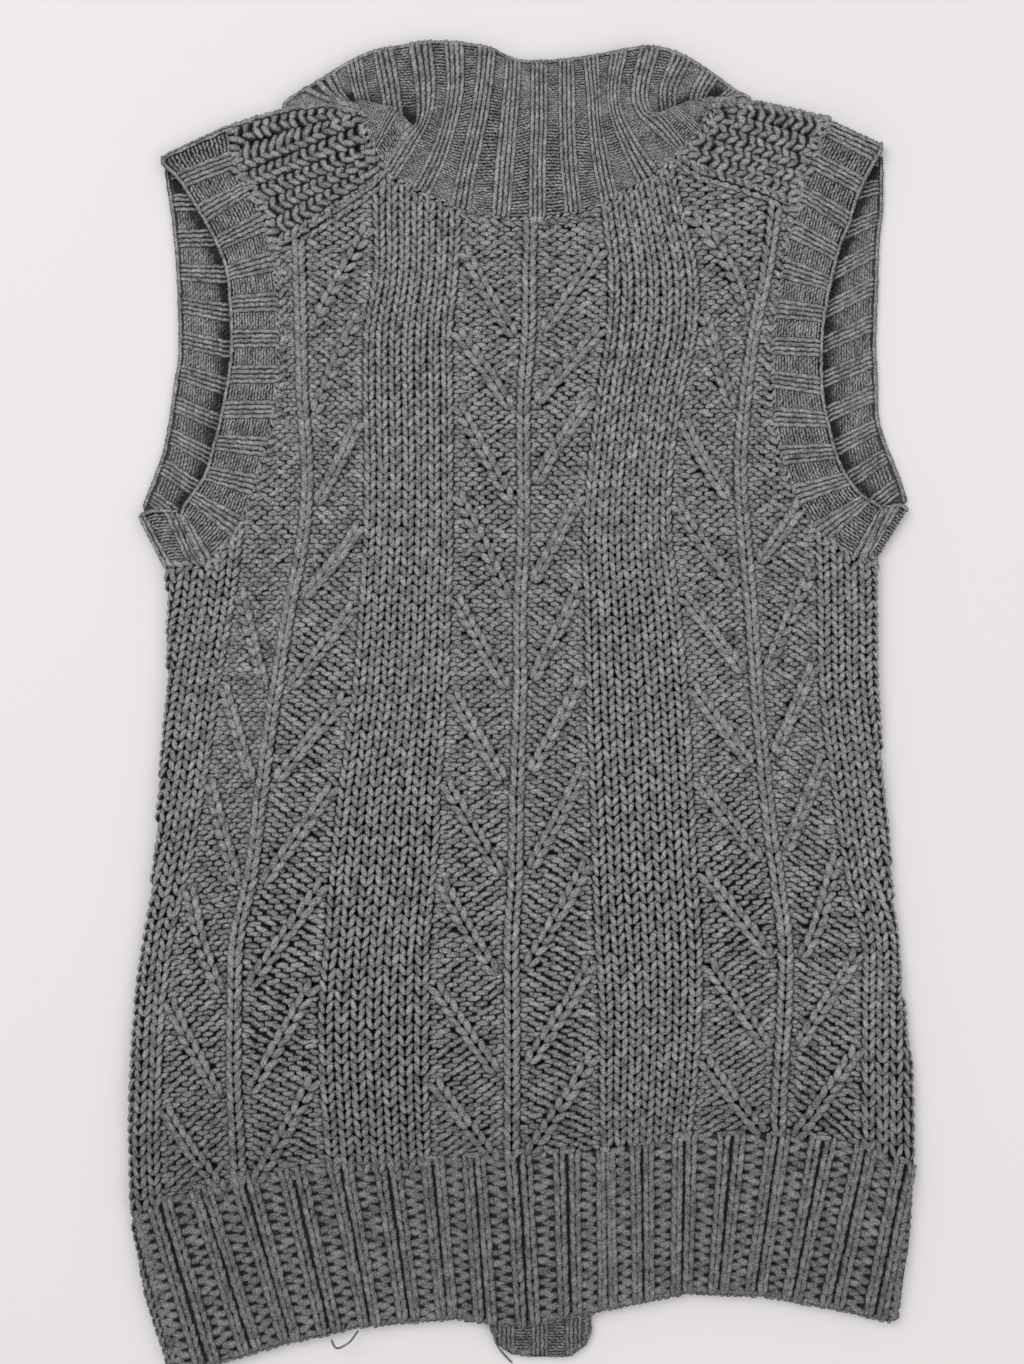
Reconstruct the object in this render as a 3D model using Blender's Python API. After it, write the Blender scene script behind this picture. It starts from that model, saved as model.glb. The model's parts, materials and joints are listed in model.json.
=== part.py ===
"""Sleeveless cable-knit vest with a tall ribbed turtleneck collar, lying face down with its back up.

The vest lies flat: +X to the right, +Y towards the collar, +Z up, the surface it rests on at z = 0. "Left" and
"right" are the -X and +X sides as it lies. Its two layers lie on each other: the fronts below, the back above.
Each knitted piece is a wall of cloth, worked out from the tables of section points below (millimetres).
"""

import bmesh
import bpy
import numpy as np

MM = 0.001

# Cloth thicknesses and the gaps between pieces, in millimetres
COARSE_WALL = 5.0  # chunky knit: back, fronts and shoulder yokes
RIB_WALL = 3.2  # fine rib: collar and armhole bands
BAND_WALL = 2.5  # each of the two front bands
LAYER_GAP = 0.8  # between the fronts and the back lying on them
SEAM_GAP = 0.35  # between pieces that are sewn edge to edge

BACK_LOW = COARSE_WALL + LAYER_GAP
BACK_TOP = BACK_LOW + COARSE_WALL
FOLD_RADIUS = BACK_TOP / 2  # the shoulder fold wraps both layers
BAND_TOPS = (BACK_TOP, 10.2, 8.8)  # the armhole band sags towards its free edge: seam, middle, edge
CORNER_TOP = 8.6  # the armhole band's folded corner at the underarm lies lower
CORNER_GAP = 1.6  # its clearance from the back's corner
COLLAR_EDGE = 7.0  # the collar's two layers at its top edge and side folds

# The rounded side edges of the body
ROLL = 6.0
ROLL_STEPS = (0.0, 1.0, 2.8, 6.0)
EDGE_WALL = 0.8

# Body edges, hem to underarm: the left edge and the right edge of each row
SIDE_ROWS = (
    # left x, left y, right x, right y
    (-205, -388, 219, -360),  # hem
    (-219, -344, 226, -316),
    (-228, -296, 229, -269),  # top of the hem rib
    (-229, -226, 228, -187),
    (-226, -165, 223, -138),
    (-218, -100, 216, -77),
    (-211, -40, 211, -22),
    (-207, 15, 209, 30),
    (-206, 64, 208, 75),
    (-208, 80, 207, 85),  # underarm
)

# Armholes, underarm to shoulder: the back's sewn edge and the band's free edge, along the band's ribs
ARMHOLE_BACK = (
    # left seam x, y, left free x, y, right seam x, y, right free x, y
    (-187, 82, -199, 113, 199, 84, 211, 115),
    (-172, 97, -196, 119, 184, 94, 206, 119),
    (-163, 111, -191, 126, 170, 106, 199, 123),
    (-157, 128, -185, 135, 161, 122, 191, 132),
    (-152, 145, -181, 149, 153, 143, 184, 146),
    (-147, 164, -177, 164, 149, 161, 180, 161),
    (-144, 184, -173, 184, 147, 184, 176, 180),
    (-143, 204, -170, 204, 147, 208, 175, 207),
    (-143, 225, -170, 225, 150, 233, 177, 230),
    (-144, 245, -171, 242, 154, 260, 181, 250),
    (-147, 264, -173, 256, 161, 287, 187, 272),  # foot of the shoulder yoke
    (-150, 279, -177, 267, 163, 298, 191, 281),
    (-158, 297, -184, 281, 167, 309, 195, 295),
    (-166, 307, -193, 296, 171, 321, 200, 306),
    (-170, 319, -201, 308, 176, 331, 205, 316),
    (-173, 338, -211, 321, 180, 343, 211, 329),  # shoulder fold
)
YOKE_FOOT = 10  # the row of ARMHOLE_BACK where the yokes start

# The fronts' half of the same armholes, underarm fold to the yokes' front edge
ARMHOLE_FRONT = (
    (-208, 80, -224, 111, 207, 85, 226, 115),  # fold of the band's corner
    (-197, 84, -222, 116, 197, 90, 225, 119),
    (-185, 94, -220, 122, 186, 99, 223, 128),
    (-178, 109, -215, 135, 179, 113, 218, 142),
    (-174, 126, -210, 149, 176, 131, 213, 154),
    (-171, 147, -207, 164, 174, 150, 209, 167),
    (-171, 170, -204, 184, 174, 173, 208, 188),
    (-170, 197, -201, 205, 174, 197, 207, 211),
    (-170, 226, -201, 232, 174, 226, 208, 243),
    (-171, 255, -202, 256, 176, 255, 209, 273),
    (-171, 281, -204, 280, 178, 281, 211, 293),
    (-172, 302, -207, 302, 179, 306, 211, 311),  # front edge of the yoke
)

# The back's inner columns follow its wales: each inner wale's x at the height of a row's middle
WALE_HEIGHTS = (-364, -261, -207, -150, -93, -38, 15, 68, 95, 137, 180, 223, 251)
WALES = {
    "left stem": (-141, -166, -168, -168, -158, -151, -143, -134, -128, -125, -128, -129, -130),
    "left band, outer": (-96, -115, -118, -119, -113, -106, -99, -95, -93, -92, -93, -92, -89),
    "left band, inner": (-40, -53, -54, -54, -50, -46, -43, -41, -40, -40, -40, -40, -37),
    "centre stem": (0, -6, -6, -6, -4, -3, -1, -1, 1, 1, 1, 4, 4),
    "right band, inner": (48, 46, 45, 45, 41, 39, 37, 36, 35, 38, 43, 49, 50),
    "right band, outer": (97, 98, 102, 105, 103, 99, 96, 91, 88, 88, 94, 103, 103),
    "right stem": (142, 149, 150, 153, 149, 141, 137, 132, 130, 127, 130, 136, 142),
}
HEM_RISE = (0, 11, 17, 18, 8, 14, 18, 14, 0)  # of the hem's edge above its corners' line, wale by wale
FRONT_HEM_LIFT = 4.0  # the fronts end this much above the back's hem

# The back's top edge and the collar, left to right, one row for each rib of the collar that is followed.
# Points up the collar: seam, crest of the ledge, pinch behind it, middle, top edge. "column" places the seam
# point among the back's wales: 0 the left side, 1 to 7 the wales above, 8 the right side.
COLLAR_BACK = (
    # column, seam x, y, z, crest x, y, z, pinch x, y, z, middle x, y, z, top x, y, z
    (None, -94, 346, 9.5, -88, 350.5, 13, -92, 354, 8, -104, 358, 8, -119, 365, 7),
    (None, -91, 338, 10.5, -78, 347, 17, -81, 352.5, 9, -90, 362, 8.5, -102, 376, 7),
    (None, -87, 325, 10.8, -69, 343, 18, -71, 349.5, 10, -77, 365, 8.5, -85, 384, 7),
    (None, -82, 318, 10.8, -67, 334, 18, -64, 346, 12, -66, 363, 9, -72, 386, 7),
    (2.3, -77, 310, 10.8, -66, 326, 17, -57, 342, 15, -56, 362, 10, -59, 388, 7.2),
    (2.6, -59, 300, 10.8, -49, 318, 16, -43, 336, 15.5, -39, 360, 11, -40, 388, 7.4),
    (3.0, -36, 290, 10.8, -32, 311, 15, -26, 337, 15, -22, 363, 11, -20, 385, 7.4),
    (3.5, -12, 285, 10.8, -10, 312, 14.5, -8, 336, 14.5, -6, 360, 10.5, -5, 378, 7.2),
    (4.1, 9, 285, 10.8, 9, 316, 14.5, 10, 340, 14.5, 10, 357, 10.5, 10, 377, 7),
    (4.6, 30, 288, 10.8, 27, 316, 14.5, 26, 340, 14.5, 26, 357, 10.5, 26, 378, 7),
    (5.1, 51, 295, 10.8, 46, 316, 15, 43, 338, 15, 42, 357, 11, 40, 380, 7.3),
    (5.5, 73, 308, 10.8, 64, 322, 16, 55, 342, 15.5, 53, 360, 11, 57, 383, 7.4),
    (5.9, 89, 319, 10.8, 71, 331, 17, 62, 346, 15, 60, 362, 10, 66, 386, 7.2),
    (None, 94, 324, 10.8, 78, 340, 18, 69, 350, 12.5, 66, 364, 9, 76, 386, 7.2),
    (None, 104, 334, 10.8, 82, 345, 18, 76, 352, 10, 83, 364, 8.5, 93, 382, 7),
    (None, 108, 344, 10.5, 95, 350, 16.5, 91, 354.5, 9, 98, 362, 8.5, 106, 373, 7),
    (None, 111, 349, 9.5, 106, 352.5, 12.5, 106, 356, 8, 111, 358, 8, 118, 365, 7),
)
# The collar's side folds: the same five points along the fold, outermost
COLLAR_FOLD_LEFT = ((-97, 352), (-104, 352.4), (-112, 352.7), (-124, 352.9), (-137, 353))
COLLAR_FOLD_RIGHT = ((117, 354.5), (121, 355), (123, 355.2), (126, 355.6), (130, 356))
# The collar's lower layer, from the centre front out to each fold: seam and top edge
NECK_CENTRE = 10.5
COLLAR_FRONT_LEFT = (
    (-20, 262, -15, 379),
    (-50, 269, -38, 385),
    (-78, 290, -58, 384),
    (-96, 318, -83, 380),
    (-95.5, 338, -101, 370),
)
COLLAR_FRONT_RIGHT = (
    (41, 262, 48, 378),
    (70, 269, 66, 382),
    (98, 290, 88, 380),
    (115, 318, 104, 370),
    (114.5, 338, 117, 362),
)
NECK_TOP_Y = 374
NECK_LOW_Y = 262
NECK_ROWS = 4  # how many of the fronts' top rows end on the neckline

# The yokes' outline along the shoulder fold, armhole to neck, and the columns between
NECK_CLEARANCE = 1.0  # of the yokes' lower half from the collar
YOKE_FOLD_LEFT = ((-173, 338), (-152, 345), (-133, 349.8), (-115, 351.3), (-99, 351))
YOKE_FOLD_RIGHT = ((180, 343), (163, 347.5), (146, 351.5), (130, 353.4), (118, 353))
YOKE_FOOT_LEFT = ((-147, 264), (-132, 271), (-104, 289), (-88, 300), (-77, 310))
YOKE_FOOT_RIGHT = ((161, 287), (143, 297), (122, 304), (104, 309), (89, 319))
YOKE_FOOT_COLUMNS = ((1.0, 1.6, 2.0), (6.9, 6.55, 6.2))  # where the feet's inner points meet the back's wales
SHOULDER_LEAN = 0.27  # how far the shoulder fold turns outwards, for each unit towards the collar

# Front bands: the overlapping pair down the centre front, whose lower end shows below the hem
BAND_ROWS = (
    # y, left x, right x
    (261.6, -19.6, 40.6),
    (-355, -19.6, 40.6),
    (-366, -18.5, 40.6),
    (-374, -14, 38),
    (-379, -7, 31),
    (-381, 4, 27),
)

YARN = (0.127, 0.137, 0.133, 1.0)
RIB_YARN = (0.135, 0.144, 0.140, 1.0)


def clear_scene():
    for obj in list(bpy.data.objects):
        bpy.data.objects.remove(obj)


def yarn_material(name, color):
    """Matte wool-mix yarn: no metal, nearly no gloss."""
    material = bpy.data.materials.new(name)
    material.use_nodes = True
    shader = material.node_tree.nodes["Principled BSDF"]
    shader.inputs["Base Color"].default_value = color
    shader.inputs["Roughness"].default_value = 0.95
    shader.inputs["Metallic"].default_value = 0.0
    return material


def wall(name, outer, inner, material):
    """A closed wall of cloth between two grids of points in millimetres, shaped (rows, columns, 3)."""
    rows, columns = outer.shape[:2]
    points = np.concatenate([outer.reshape(-1, 3), inner.reshape(-1, 3)]) * MM
    index = np.arange(rows * columns).reshape(rows, columns)
    far = index + rows * columns
    faces = []
    for r in range(rows - 1):
        for c in range(columns - 1):
            faces.append((index[r, c], index[r, c + 1], index[r + 1, c + 1], index[r + 1, c]))
            faces.append((far[r, c], far[r + 1, c], far[r + 1, c + 1], far[r, c + 1]))
        for c, step in ((0, 1), (columns - 1, -1)):
            edge = (index[r, c], index[r + 1, c], far[r + 1, c], far[r, c])
            faces.append(edge[::step])
    for r, step in ((0, -1), (rows - 1, 1)):
        for c in range(columns - 1):
            edge = (index[r, c], index[r, c + 1], far[r, c + 1], far[r, c])
            faces.append(edge[::step])
    return cloth_object(name, points, faces, material)


def ring(name, outer, inner, material):
    """A wall that closes on itself: the last row of points joins the first."""
    rows, columns = outer.shape[:2]
    points = np.concatenate([outer.reshape(-1, 3), inner.reshape(-1, 3)]) * MM
    index = np.arange(rows * columns).reshape(rows, columns)
    far = index + rows * columns
    faces = []
    for r in range(rows):
        n = (r + 1) % rows
        for c in range(columns - 1):
            faces.append((index[r, c], index[r, c + 1], index[n, c + 1], index[n, c]))
            faces.append((far[r, c], far[n, c], far[n, c + 1], far[r, c + 1]))
        for c, step in ((0, 1), (columns - 1, -1)):
            edge = (index[r, c], index[n, c], far[n, c], far[r, c])
            faces.append(edge[::step])
    return cloth_object(name, points, faces, material)


def cloth_object(name, points, faces, material):
    mesh = bpy.data.meshes.new(name)
    mesh.from_pydata(points.tolist(), [], [[int(i) for i in face] for face in faces])
    shape = bmesh.new()
    shape.from_mesh(mesh)
    bmesh.ops.recalc_face_normals(shape, faces=shape.faces)
    shape.to_mesh(mesh)
    shape.free()
    mesh.materials.append(material)
    obj = bpy.data.objects.new(name, mesh)
    bpy.context.scene.collection.objects.link(obj)
    return obj


def roll(distance):
    """Rise of a rounded side edge, 0 at the edge to 1 at ROLL from it: a quarter ellipse."""
    return np.sqrt(1 - (1 - np.clip(distance / ROLL, 0, 1)) ** 2)


def wale_x(left, right, middle_y):
    """x of the back's columns 0 to 8 in a row: its ends, and the wales between them at its height."""
    inner = [np.interp(middle_y, WALE_HEIGHTS, xs) for xs in WALES.values()]
    return np.array([left, *inner, right])


def with_roll_columns(row):
    """A row of points with more of them close to each end, where the side edges are rounded."""
    row = np.asarray(row, float)
    ends = []
    for end, inward in ((row[0], row[1]), (row[-1], row[-2])):
        way = (inward - end) / np.linalg.norm(inward - end)
        ends.append([end + way * step for step in ROLL_STEPS])
    return np.array([*ends[0], *row[1:-1], *ends[1][::-1]])


def roll_distances(columns):
    """How far each column of a row is from the rounded edge nearest to it."""
    distance = np.full(columns, ROLL)
    count = len(ROLL_STEPS)
    distance[:count] = ROLL_STEPS
    distance[-count:] = ROLL_STEPS[::-1]
    return distance


def back_columns():
    """The back's columns, from the points of its top edge: place among the wales, and the point itself."""
    left = [(0.0, YOKE_FOOT_LEFT[0])] + list(zip(YOKE_FOOT_COLUMNS[0], YOKE_FOOT_LEFT[1:4]))
    neck = [(row[0], row[1:3]) for row in COLLAR_BACK if row[0] is not None]
    right = list(zip(YOKE_FOOT_COLUMNS[1], YOKE_FOOT_RIGHT[1:4]))[::-1] + [(8.0, YOKE_FOOT_RIGHT[0])]
    return left + neck + right


def back_rows():
    """Rows of points of the back, hem to its top edge, each with its ends on the side or armhole edges."""
    places = np.array([place for place, _ in back_columns()])
    armhole = [row[:2] + row[4:6] for row in ARMHOLE_BACK[:YOKE_FOOT]]
    rows = []
    for number, (left_x, left_y, right_x, right_y) in enumerate(SIDE_ROWS + tuple(armhole)):
        ends = np.array([left_x, right_x])
        columns = wale_x(left_x, right_x, (left_y + right_y) / 2)
        x = np.interp(places, np.arange(9), columns)
        y = np.interp(x, ends, (left_y, right_y))
        if number == 0:
            y += np.interp(places, np.arange(9), HEM_RISE)
        rows.append(with_roll_columns(np.stack([x, y], axis=1)))
    rows.append(with_roll_columns([point for _, point in back_columns()]))
    return np.array(rows)


def build_back(yarn):
    plan = back_rows()
    rise = np.ones(plan.shape[:2])
    rise[: len(SIDE_ROWS)] = roll(roll_distances(plan.shape[1]))
    top = BACK_LOW + EDGE_WALL + (COARSE_WALL - EDGE_WALL) * rise
    outer = np.dstack([plan, top])
    inner = np.dstack([plan, np.full(plan.shape[:2], BACK_LOW)])
    wall("back_panel", outer, inner, yarn)


def front_rows(side):
    """Rows of one front, hem to the yoke's front edge: ends on the side or armhole, and on the band or neckline."""
    sign = -1 if side == "left" else 1
    pick = slice(0, 2) if side == "left" else slice(2, 4)
    seam = slice(0, 2) if side == "left" else slice(4, 6)
    outer = [row[pick] for row in SIDE_ROWS] + [row[seam] for row in ARMHOLE_FRONT[1:]]
    neckline = COLLAR_FRONT_LEFT if side == "left" else COLLAR_FRONT_RIGHT
    band_x = BAND_ROWS[0][1 if side == "left" else 2] + sign * SEAM_GAP
    count = len(outer) - NECK_ROWS
    inner = [(band_x, y) for _, y in outer[:count]] + [neckline[i][:2] for i in range(NECK_ROWS)]
    inner[count] = (band_x, NECK_LOW_Y)
    rows = []
    for number, (far, near) in enumerate(zip(outer, inner)):
        share = np.linspace(0, 1, 7)[:, None]
        row = np.array(far) * (1 - share) + np.array(near) * share
        if number == 0:
            hem = back_rows()[0]
            row[:, 1] = np.interp(row[:, 0], hem[:, 0], hem[:, 1]) + FRONT_HEM_LIFT
        way = (row[1] - row[0]) / np.linalg.norm(row[1] - row[0])
        edge = [row[0] + way * step for step in ROLL_STEPS]
        rows.append([*edge, *row[1:]])
    return np.array(rows)


def build_front(side, yarn):
    plan = front_rows(side)
    distance = np.full(plan.shape[1], ROLL)
    distance[: len(ROLL_STEPS)] = ROLL_STEPS
    rise = np.ones(plan.shape[:2])
    rise[: len(SIDE_ROWS)] = roll(distance)
    low = (COARSE_WALL - EDGE_WALL) * (1 - rise)
    outer = np.dstack([plan, low])
    inner = np.dstack([plan, np.full(plan.shape[:2], COARSE_WALL)])
    wall(f"front_{side}", outer, inner, yarn)


def fold_rows(line, outwards, top, thickness, steps):
    """Rows round a fold from the upper layer to the lower: half circles across a line of outermost points."""
    radius = np.full(len(line), top) / 2
    centre = np.asarray(line, float) - radius[:, None] * np.asarray(outwards)
    outer, inner = [], []
    for angle in np.radians(np.linspace(90, -90, steps)):
        for rows, size in ((outer, radius), (inner, radius - thickness)):
            plan = centre + size[:, None] * np.cos(angle) * np.asarray(outwards)
            rows.append(np.column_stack([plan, radius + size * np.sin(angle)]))
    return outer, inner


def flat_row(points, outer_z, thickness):
    """A row of a layer lying flat: its outer face at outer_z, its wall above (+) or below (-) that face."""
    points = np.asarray(points, float)
    outer = np.column_stack([points, np.full(len(points), outer_z)])
    inner = outer + (0, 0, thickness)
    return outer, inner


def build_yoke(side, yarn):
    """The chunky shoulder panel: up the back, over the shoulder fold and a little down the front."""
    if side == "left":
        seam, collar = slice(0, 2), COLLAR_BACK[4::-1]
        fold, foot, sign = YOKE_FOLD_LEFT, YOKE_FOOT_LEFT, -1
        front = ARMHOLE_FRONT[-1][0:2], COLLAR_FRONT_LEFT[3][:2]
    else:
        seam, collar = slice(4, 6), COLLAR_BACK[12:]
        fold, foot, sign = YOKE_FOLD_RIGHT, YOKE_FOOT_RIGHT, 1
        front = ARMHOLE_FRONT[-1][4:6], COLLAR_FRONT_RIGHT[3][:2]
    outwards = np.array([sign * SHOULDER_LEAN, 1.0]) / np.hypot(SHOULDER_LEAN, 1.0)
    share = np.linspace(0, 1, len(fold))[:, None]
    raised = np.array(foot) + outwards * SEAM_GAP  # clear of the back's top edge
    outer, inner = [], []
    flat = [flat_row(raised, BACK_TOP, -COARSE_WALL)]
    armhole = ARMHOLE_BACK[YOKE_FOOT + 1 : -1]
    for number, row in enumerate(armhole):
        ends = np.array(row[seam]), np.array(collar[number + 1][1:3])
        flat.append(flat_row(ends[0] * (1 - share) + ends[1] * share, BACK_TOP, -COARSE_WALL))
    for face, back in flat:
        outer.append(face)
        inner.append(back)
    around = fold_rows(fold, outwards, BACK_TOP, COARSE_WALL, 7)
    outer += around[0]
    inner += around[1]
    neck = np.array(front[1]) + (sign * NECK_CLEARANCE, 0)
    edge = np.array(front[0]) * (1 - share) + neck * share + outwards * SEAM_GAP
    face, back = flat_row(edge, 0.0, COARSE_WALL)
    wall(f"shoulder_yoke_{side}", np.array(outer + [face]), np.array(inner + [back]), yarn)


def band_section(row, columns, gap=SEAM_GAP):
    """Seam point, kept off the panel it is sewn to, middle and free edge of one row of the armhole band."""
    seam, free = np.array(row[columns][:2]), np.array(row[columns][2:])
    way = (free - seam) / np.linalg.norm(free - seam)
    start = seam + way * gap
    return np.array([start, (start + free) / 2, free])


def build_armhole_band(side, rib):
    """The ribbed band round one armhole: up the back, over the shoulder, down the front, and its corner."""
    columns = slice(0, 4) if side == "left" else slice(4, 8)
    sign = -1 if side == "left" else 1
    outer, inner = [], []

    def lay(section, outer_z, thickness):
        face, back = flat_row(section, outer_z, thickness)
        outer.append(face)
        inner.append(back)

    for number, row in enumerate(ARMHOLE_BACK[:-1]):
        gap = SEAM_GAP if number else CORNER_GAP / 2
        lay(band_section(row, columns, gap), BAND_TOPS, -RIB_WALL)
    shoulder = np.array([sign * SHOULDER_LEAN, 1.0]) / np.hypot(SHOULDER_LEAN, 1.0)
    around = fold_rows(band_section(ARMHOLE_BACK[-1], columns), shoulder, BAND_TOPS, RIB_WALL, 7)
    outer += around[0]
    inner += around[1]
    for row in ARMHOLE_FRONT[:0:-1]:
        lay(band_section(row, columns), 0.0, RIB_WALL)
    corner = band_section(ARMHOLE_FRONT[0], columns)
    along = (corner[2] - corner[0]) / np.linalg.norm(corner[2] - corner[0])
    outwards = np.array([along[1], -along[0]]) * sign
    around = fold_rows(corner, outwards, CORNER_TOP, RIB_WALL, 5)
    outer += around[0][::-1]
    inner += around[1][::-1]
    crease = band_section(ARMHOLE_BACK[0], columns) + (0, CORNER_GAP)  # the corner tucks under the back's end
    lay(crease, CORNER_TOP, -RIB_WALL)
    ring(f"armhole_band_{side}", np.array(outer), np.array(inner), rib)


def collar_layers():
    """Rows of the collar from the centre front, round the left fold, the back and the right fold, to the front."""
    outer, inner = [], []
    share = np.linspace(0, 1, 5)[:, None]

    def lay_front(seam, top):
        seam, top = np.array(seam, float), np.array(top, float)
        start = seam + (top - seam) / np.linalg.norm(top - seam) * SEAM_GAP
        face, back = flat_row(start * (1 - share) + top * share, 0.0, RIB_WALL)
        outer.append(face)
        inner.append(back)

    def lay_fold(line, outwards, order):
        around = fold_rows(line, outwards, COLLAR_EDGE, RIB_WALL, 5)
        outer.extend(around[0][::order])
        inner.extend(around[1][::order])

    lay_front((NECK_CENTRE - SEAM_GAP, NECK_LOW_Y), (NECK_CENTRE - SEAM_GAP, NECK_TOP_Y))
    for seam_x, seam_y, top_x, top_y in COLLAR_FRONT_LEFT:
        lay_front((seam_x, seam_y), (top_x, top_y))
    lay_fold(COLLAR_FOLD_LEFT, (0.0, -1.0), -1)
    for row in COLLAR_BACK:
        points = np.array(row[1:], float).reshape(5, 3)
        way = points[1, :2] - points[0, :2]
        points[0, :2] += way / np.linalg.norm(way) * SEAM_GAP
        outer.append(points)
        inner.append(points - (0, 0, RIB_WALL))
    lay_fold(COLLAR_FOLD_RIGHT, (0.0, -1.0), 1)
    for seam_x, seam_y, top_x, top_y in COLLAR_FRONT_RIGHT[::-1]:
        lay_front((seam_x, seam_y), (top_x, top_y))
    lay_front((NECK_CENTRE + SEAM_GAP, NECK_LOW_Y), (NECK_CENTRE + SEAM_GAP, NECK_TOP_Y))
    return np.array(outer), np.array(inner)


def build_front_band(name, low, rib):
    """One of the two front bands: a flat strip with a rounded lower end."""
    share = np.linspace(0, 1, 4)[:, None]
    plan = []
    for y, left, right in BAND_ROWS:
        plan.append(np.array([left, y]) * (1 - share) + np.array([right, y]) * share)
    plan = np.array(plan, float)
    outer = np.dstack([plan, np.full(plan.shape[:2], low + BAND_WALL)])
    inner = np.dstack([plan, np.full(plan.shape[:2], low)])
    wall(name, outer, inner, rib)


def main():
    clear_scene()
    yarn = yarn_material("chunky yarn", YARN)
    rib = yarn_material("fine rib", RIB_YARN)
    build_back(yarn)
    for side in ("left", "right"):
        build_front(side, yarn)
        build_yoke(side, yarn)
        build_armhole_band(side, rib)
    wall("collar", *collar_layers(), rib)
    build_front_band("front_band_lower", 0.0, rib)
    build_front_band("front_band_upper", BAND_WALL + 0.3, rib)


main()
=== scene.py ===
"""Looks of a sleeveless chunky cable-knit vest with a ribbed turtleneck, lying face down with its back up.

Every stitch that shows is a short strand of yarn, laid on a thin shell of cloth in the place of its solid.
Sizes in the tables are millimetres in the part's frame: +X to the right as it lies, +Y to the collar, +Z up.
"""

import json

import bpy
import numpy as np
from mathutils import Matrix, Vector

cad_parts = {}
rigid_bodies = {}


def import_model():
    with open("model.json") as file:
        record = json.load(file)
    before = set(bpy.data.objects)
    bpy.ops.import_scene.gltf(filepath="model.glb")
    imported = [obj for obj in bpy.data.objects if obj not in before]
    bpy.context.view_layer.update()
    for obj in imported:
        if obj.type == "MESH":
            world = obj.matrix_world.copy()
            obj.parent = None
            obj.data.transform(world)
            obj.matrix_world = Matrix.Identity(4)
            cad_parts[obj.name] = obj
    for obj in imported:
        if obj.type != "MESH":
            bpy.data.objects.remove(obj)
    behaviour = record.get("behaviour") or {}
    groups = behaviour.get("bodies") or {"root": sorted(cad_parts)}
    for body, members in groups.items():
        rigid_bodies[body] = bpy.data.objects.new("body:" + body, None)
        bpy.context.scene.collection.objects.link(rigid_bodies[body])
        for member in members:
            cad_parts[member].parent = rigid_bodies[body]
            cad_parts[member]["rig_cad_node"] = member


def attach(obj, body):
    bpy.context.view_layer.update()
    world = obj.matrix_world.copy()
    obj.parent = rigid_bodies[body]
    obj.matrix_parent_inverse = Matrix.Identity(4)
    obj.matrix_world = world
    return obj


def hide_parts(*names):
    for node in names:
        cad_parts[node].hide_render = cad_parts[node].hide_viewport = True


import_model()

bl_info = {
    "name": "Cable-knit vest",
    "version": (1, 0, 0),
    "blender": (4, 5, 0),
    "location": "3D View > Sidebar > Knitwear",
    "description": "Builds the stitches, ribs and cables of a chunky vest laid flat, and its studio stage",
    "category": "Object",
}

MM = 0.001
MATH = "ShaderNodeMath"
HANDS = (("left", -1), ("right", 1))

# Heights of the cloth, bottom to top, as in the solids
RIB_WALL = 3.2
BACK_LOW = 5.8
BACK_TOP = 10.8
ROLL = 6.0  # width of the rounded side edge
ROLL_DROP = 5.0  # how far it drops
ROLL_ARC = 8.7  # its length along the curve
STRAND_FLAT = 0.85  # height of a strand's section, as a share of its width
TIP = 3.2  # longest tip of a strand
STITCH_DEPTH = 1.6  # how far the middle of the chunky stitches lies under the top
SEAM_GAP = 0.35  # between a sewn edge and the cloth that it is sewn to
AMPLE = 9.0  # room of a place that is well inside a cloth; -AMPLE is that of one off it
UNDERARM = 84  # y where the rolled sides end and the armholes start
NECK_START = 255  # y from which the seams of the yokes and the neck bound the back

# Body edges, hem to underarm
SIDE_ROWS = (
    # left x, left y, right x, right y
    (-205, -388, 219, -360),
    (-219, -344, 226, -316),
    (-228, -296, 229, -269),
    (-229, -226, 227, -213),
    (-224.5, -165, 219, -143),
    (-216, -110, 214, -87),
    (-210.5, -40, 209, -22),
    (-206.5, 15, 207, 30),
    (-206, 64, 206.5, 75),
    (-208, 80, 207, 85),
)
# Armholes on the back, underarm to shoulder
ARMHOLE_BACK = (
    # left seam x, y, left free x, y, right seam x, y, right free x, y
    (-187, 82, -199, 113, 199, 84, 211, 115),
    (-172, 97, -196, 119, 184, 94, 206, 119),
    (-163, 111, -191, 126, 170, 106, 199, 123),
    (-157, 128, -185, 135, 161, 122, 191, 132),
    (-152, 145, -181, 149, 153, 143, 184, 146),
    (-147, 164, -177, 164, 149, 161, 180, 161),
    (-144, 184, -173, 184, 147, 184, 176, 180),
    (-143, 204, -170, 204, 147, 208, 175, 207),
    (-143, 225, -170, 225, 150, 233, 177, 230),
    (-144, 245, -171, 242, 154, 260, 181, 250),
    (-147, 264, -173, 256, 161, 287, 187, 272),
    (-150, 279, -177, 267, 163, 298, 191, 281),
    (-158, 297, -184, 281, 167, 309, 195, 295),
    (-166, 307, -193, 296, 171, 321, 200, 306),
    (-170, 319, -201, 308, 176, 331, 205, 316),
    (-173, 338, -211, 321, 180, 343, 211, 329),
)
# The back's top edge: left yoke, neck, right yoke
TOP_EDGE = (
    (-147, 264), (-132, 271), (-104, 289), (-88, 300), (-77, 310),
    (-59, 300), (-36, 290), (-12, 285), (9, 285), (30, 288), (51, 295), (73, 308),
    (89, 319), (104, 309), (122, 304), (143, 297), (161, 287),
)
YOKE_FEET = (TOP_EDGE[:5], TOP_EDGE[12:])
BACK_HOLES = ARMHOLE_BACK[:11]  # the rows of the armholes that the back is sewn to; the rest are the yokes'

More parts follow.
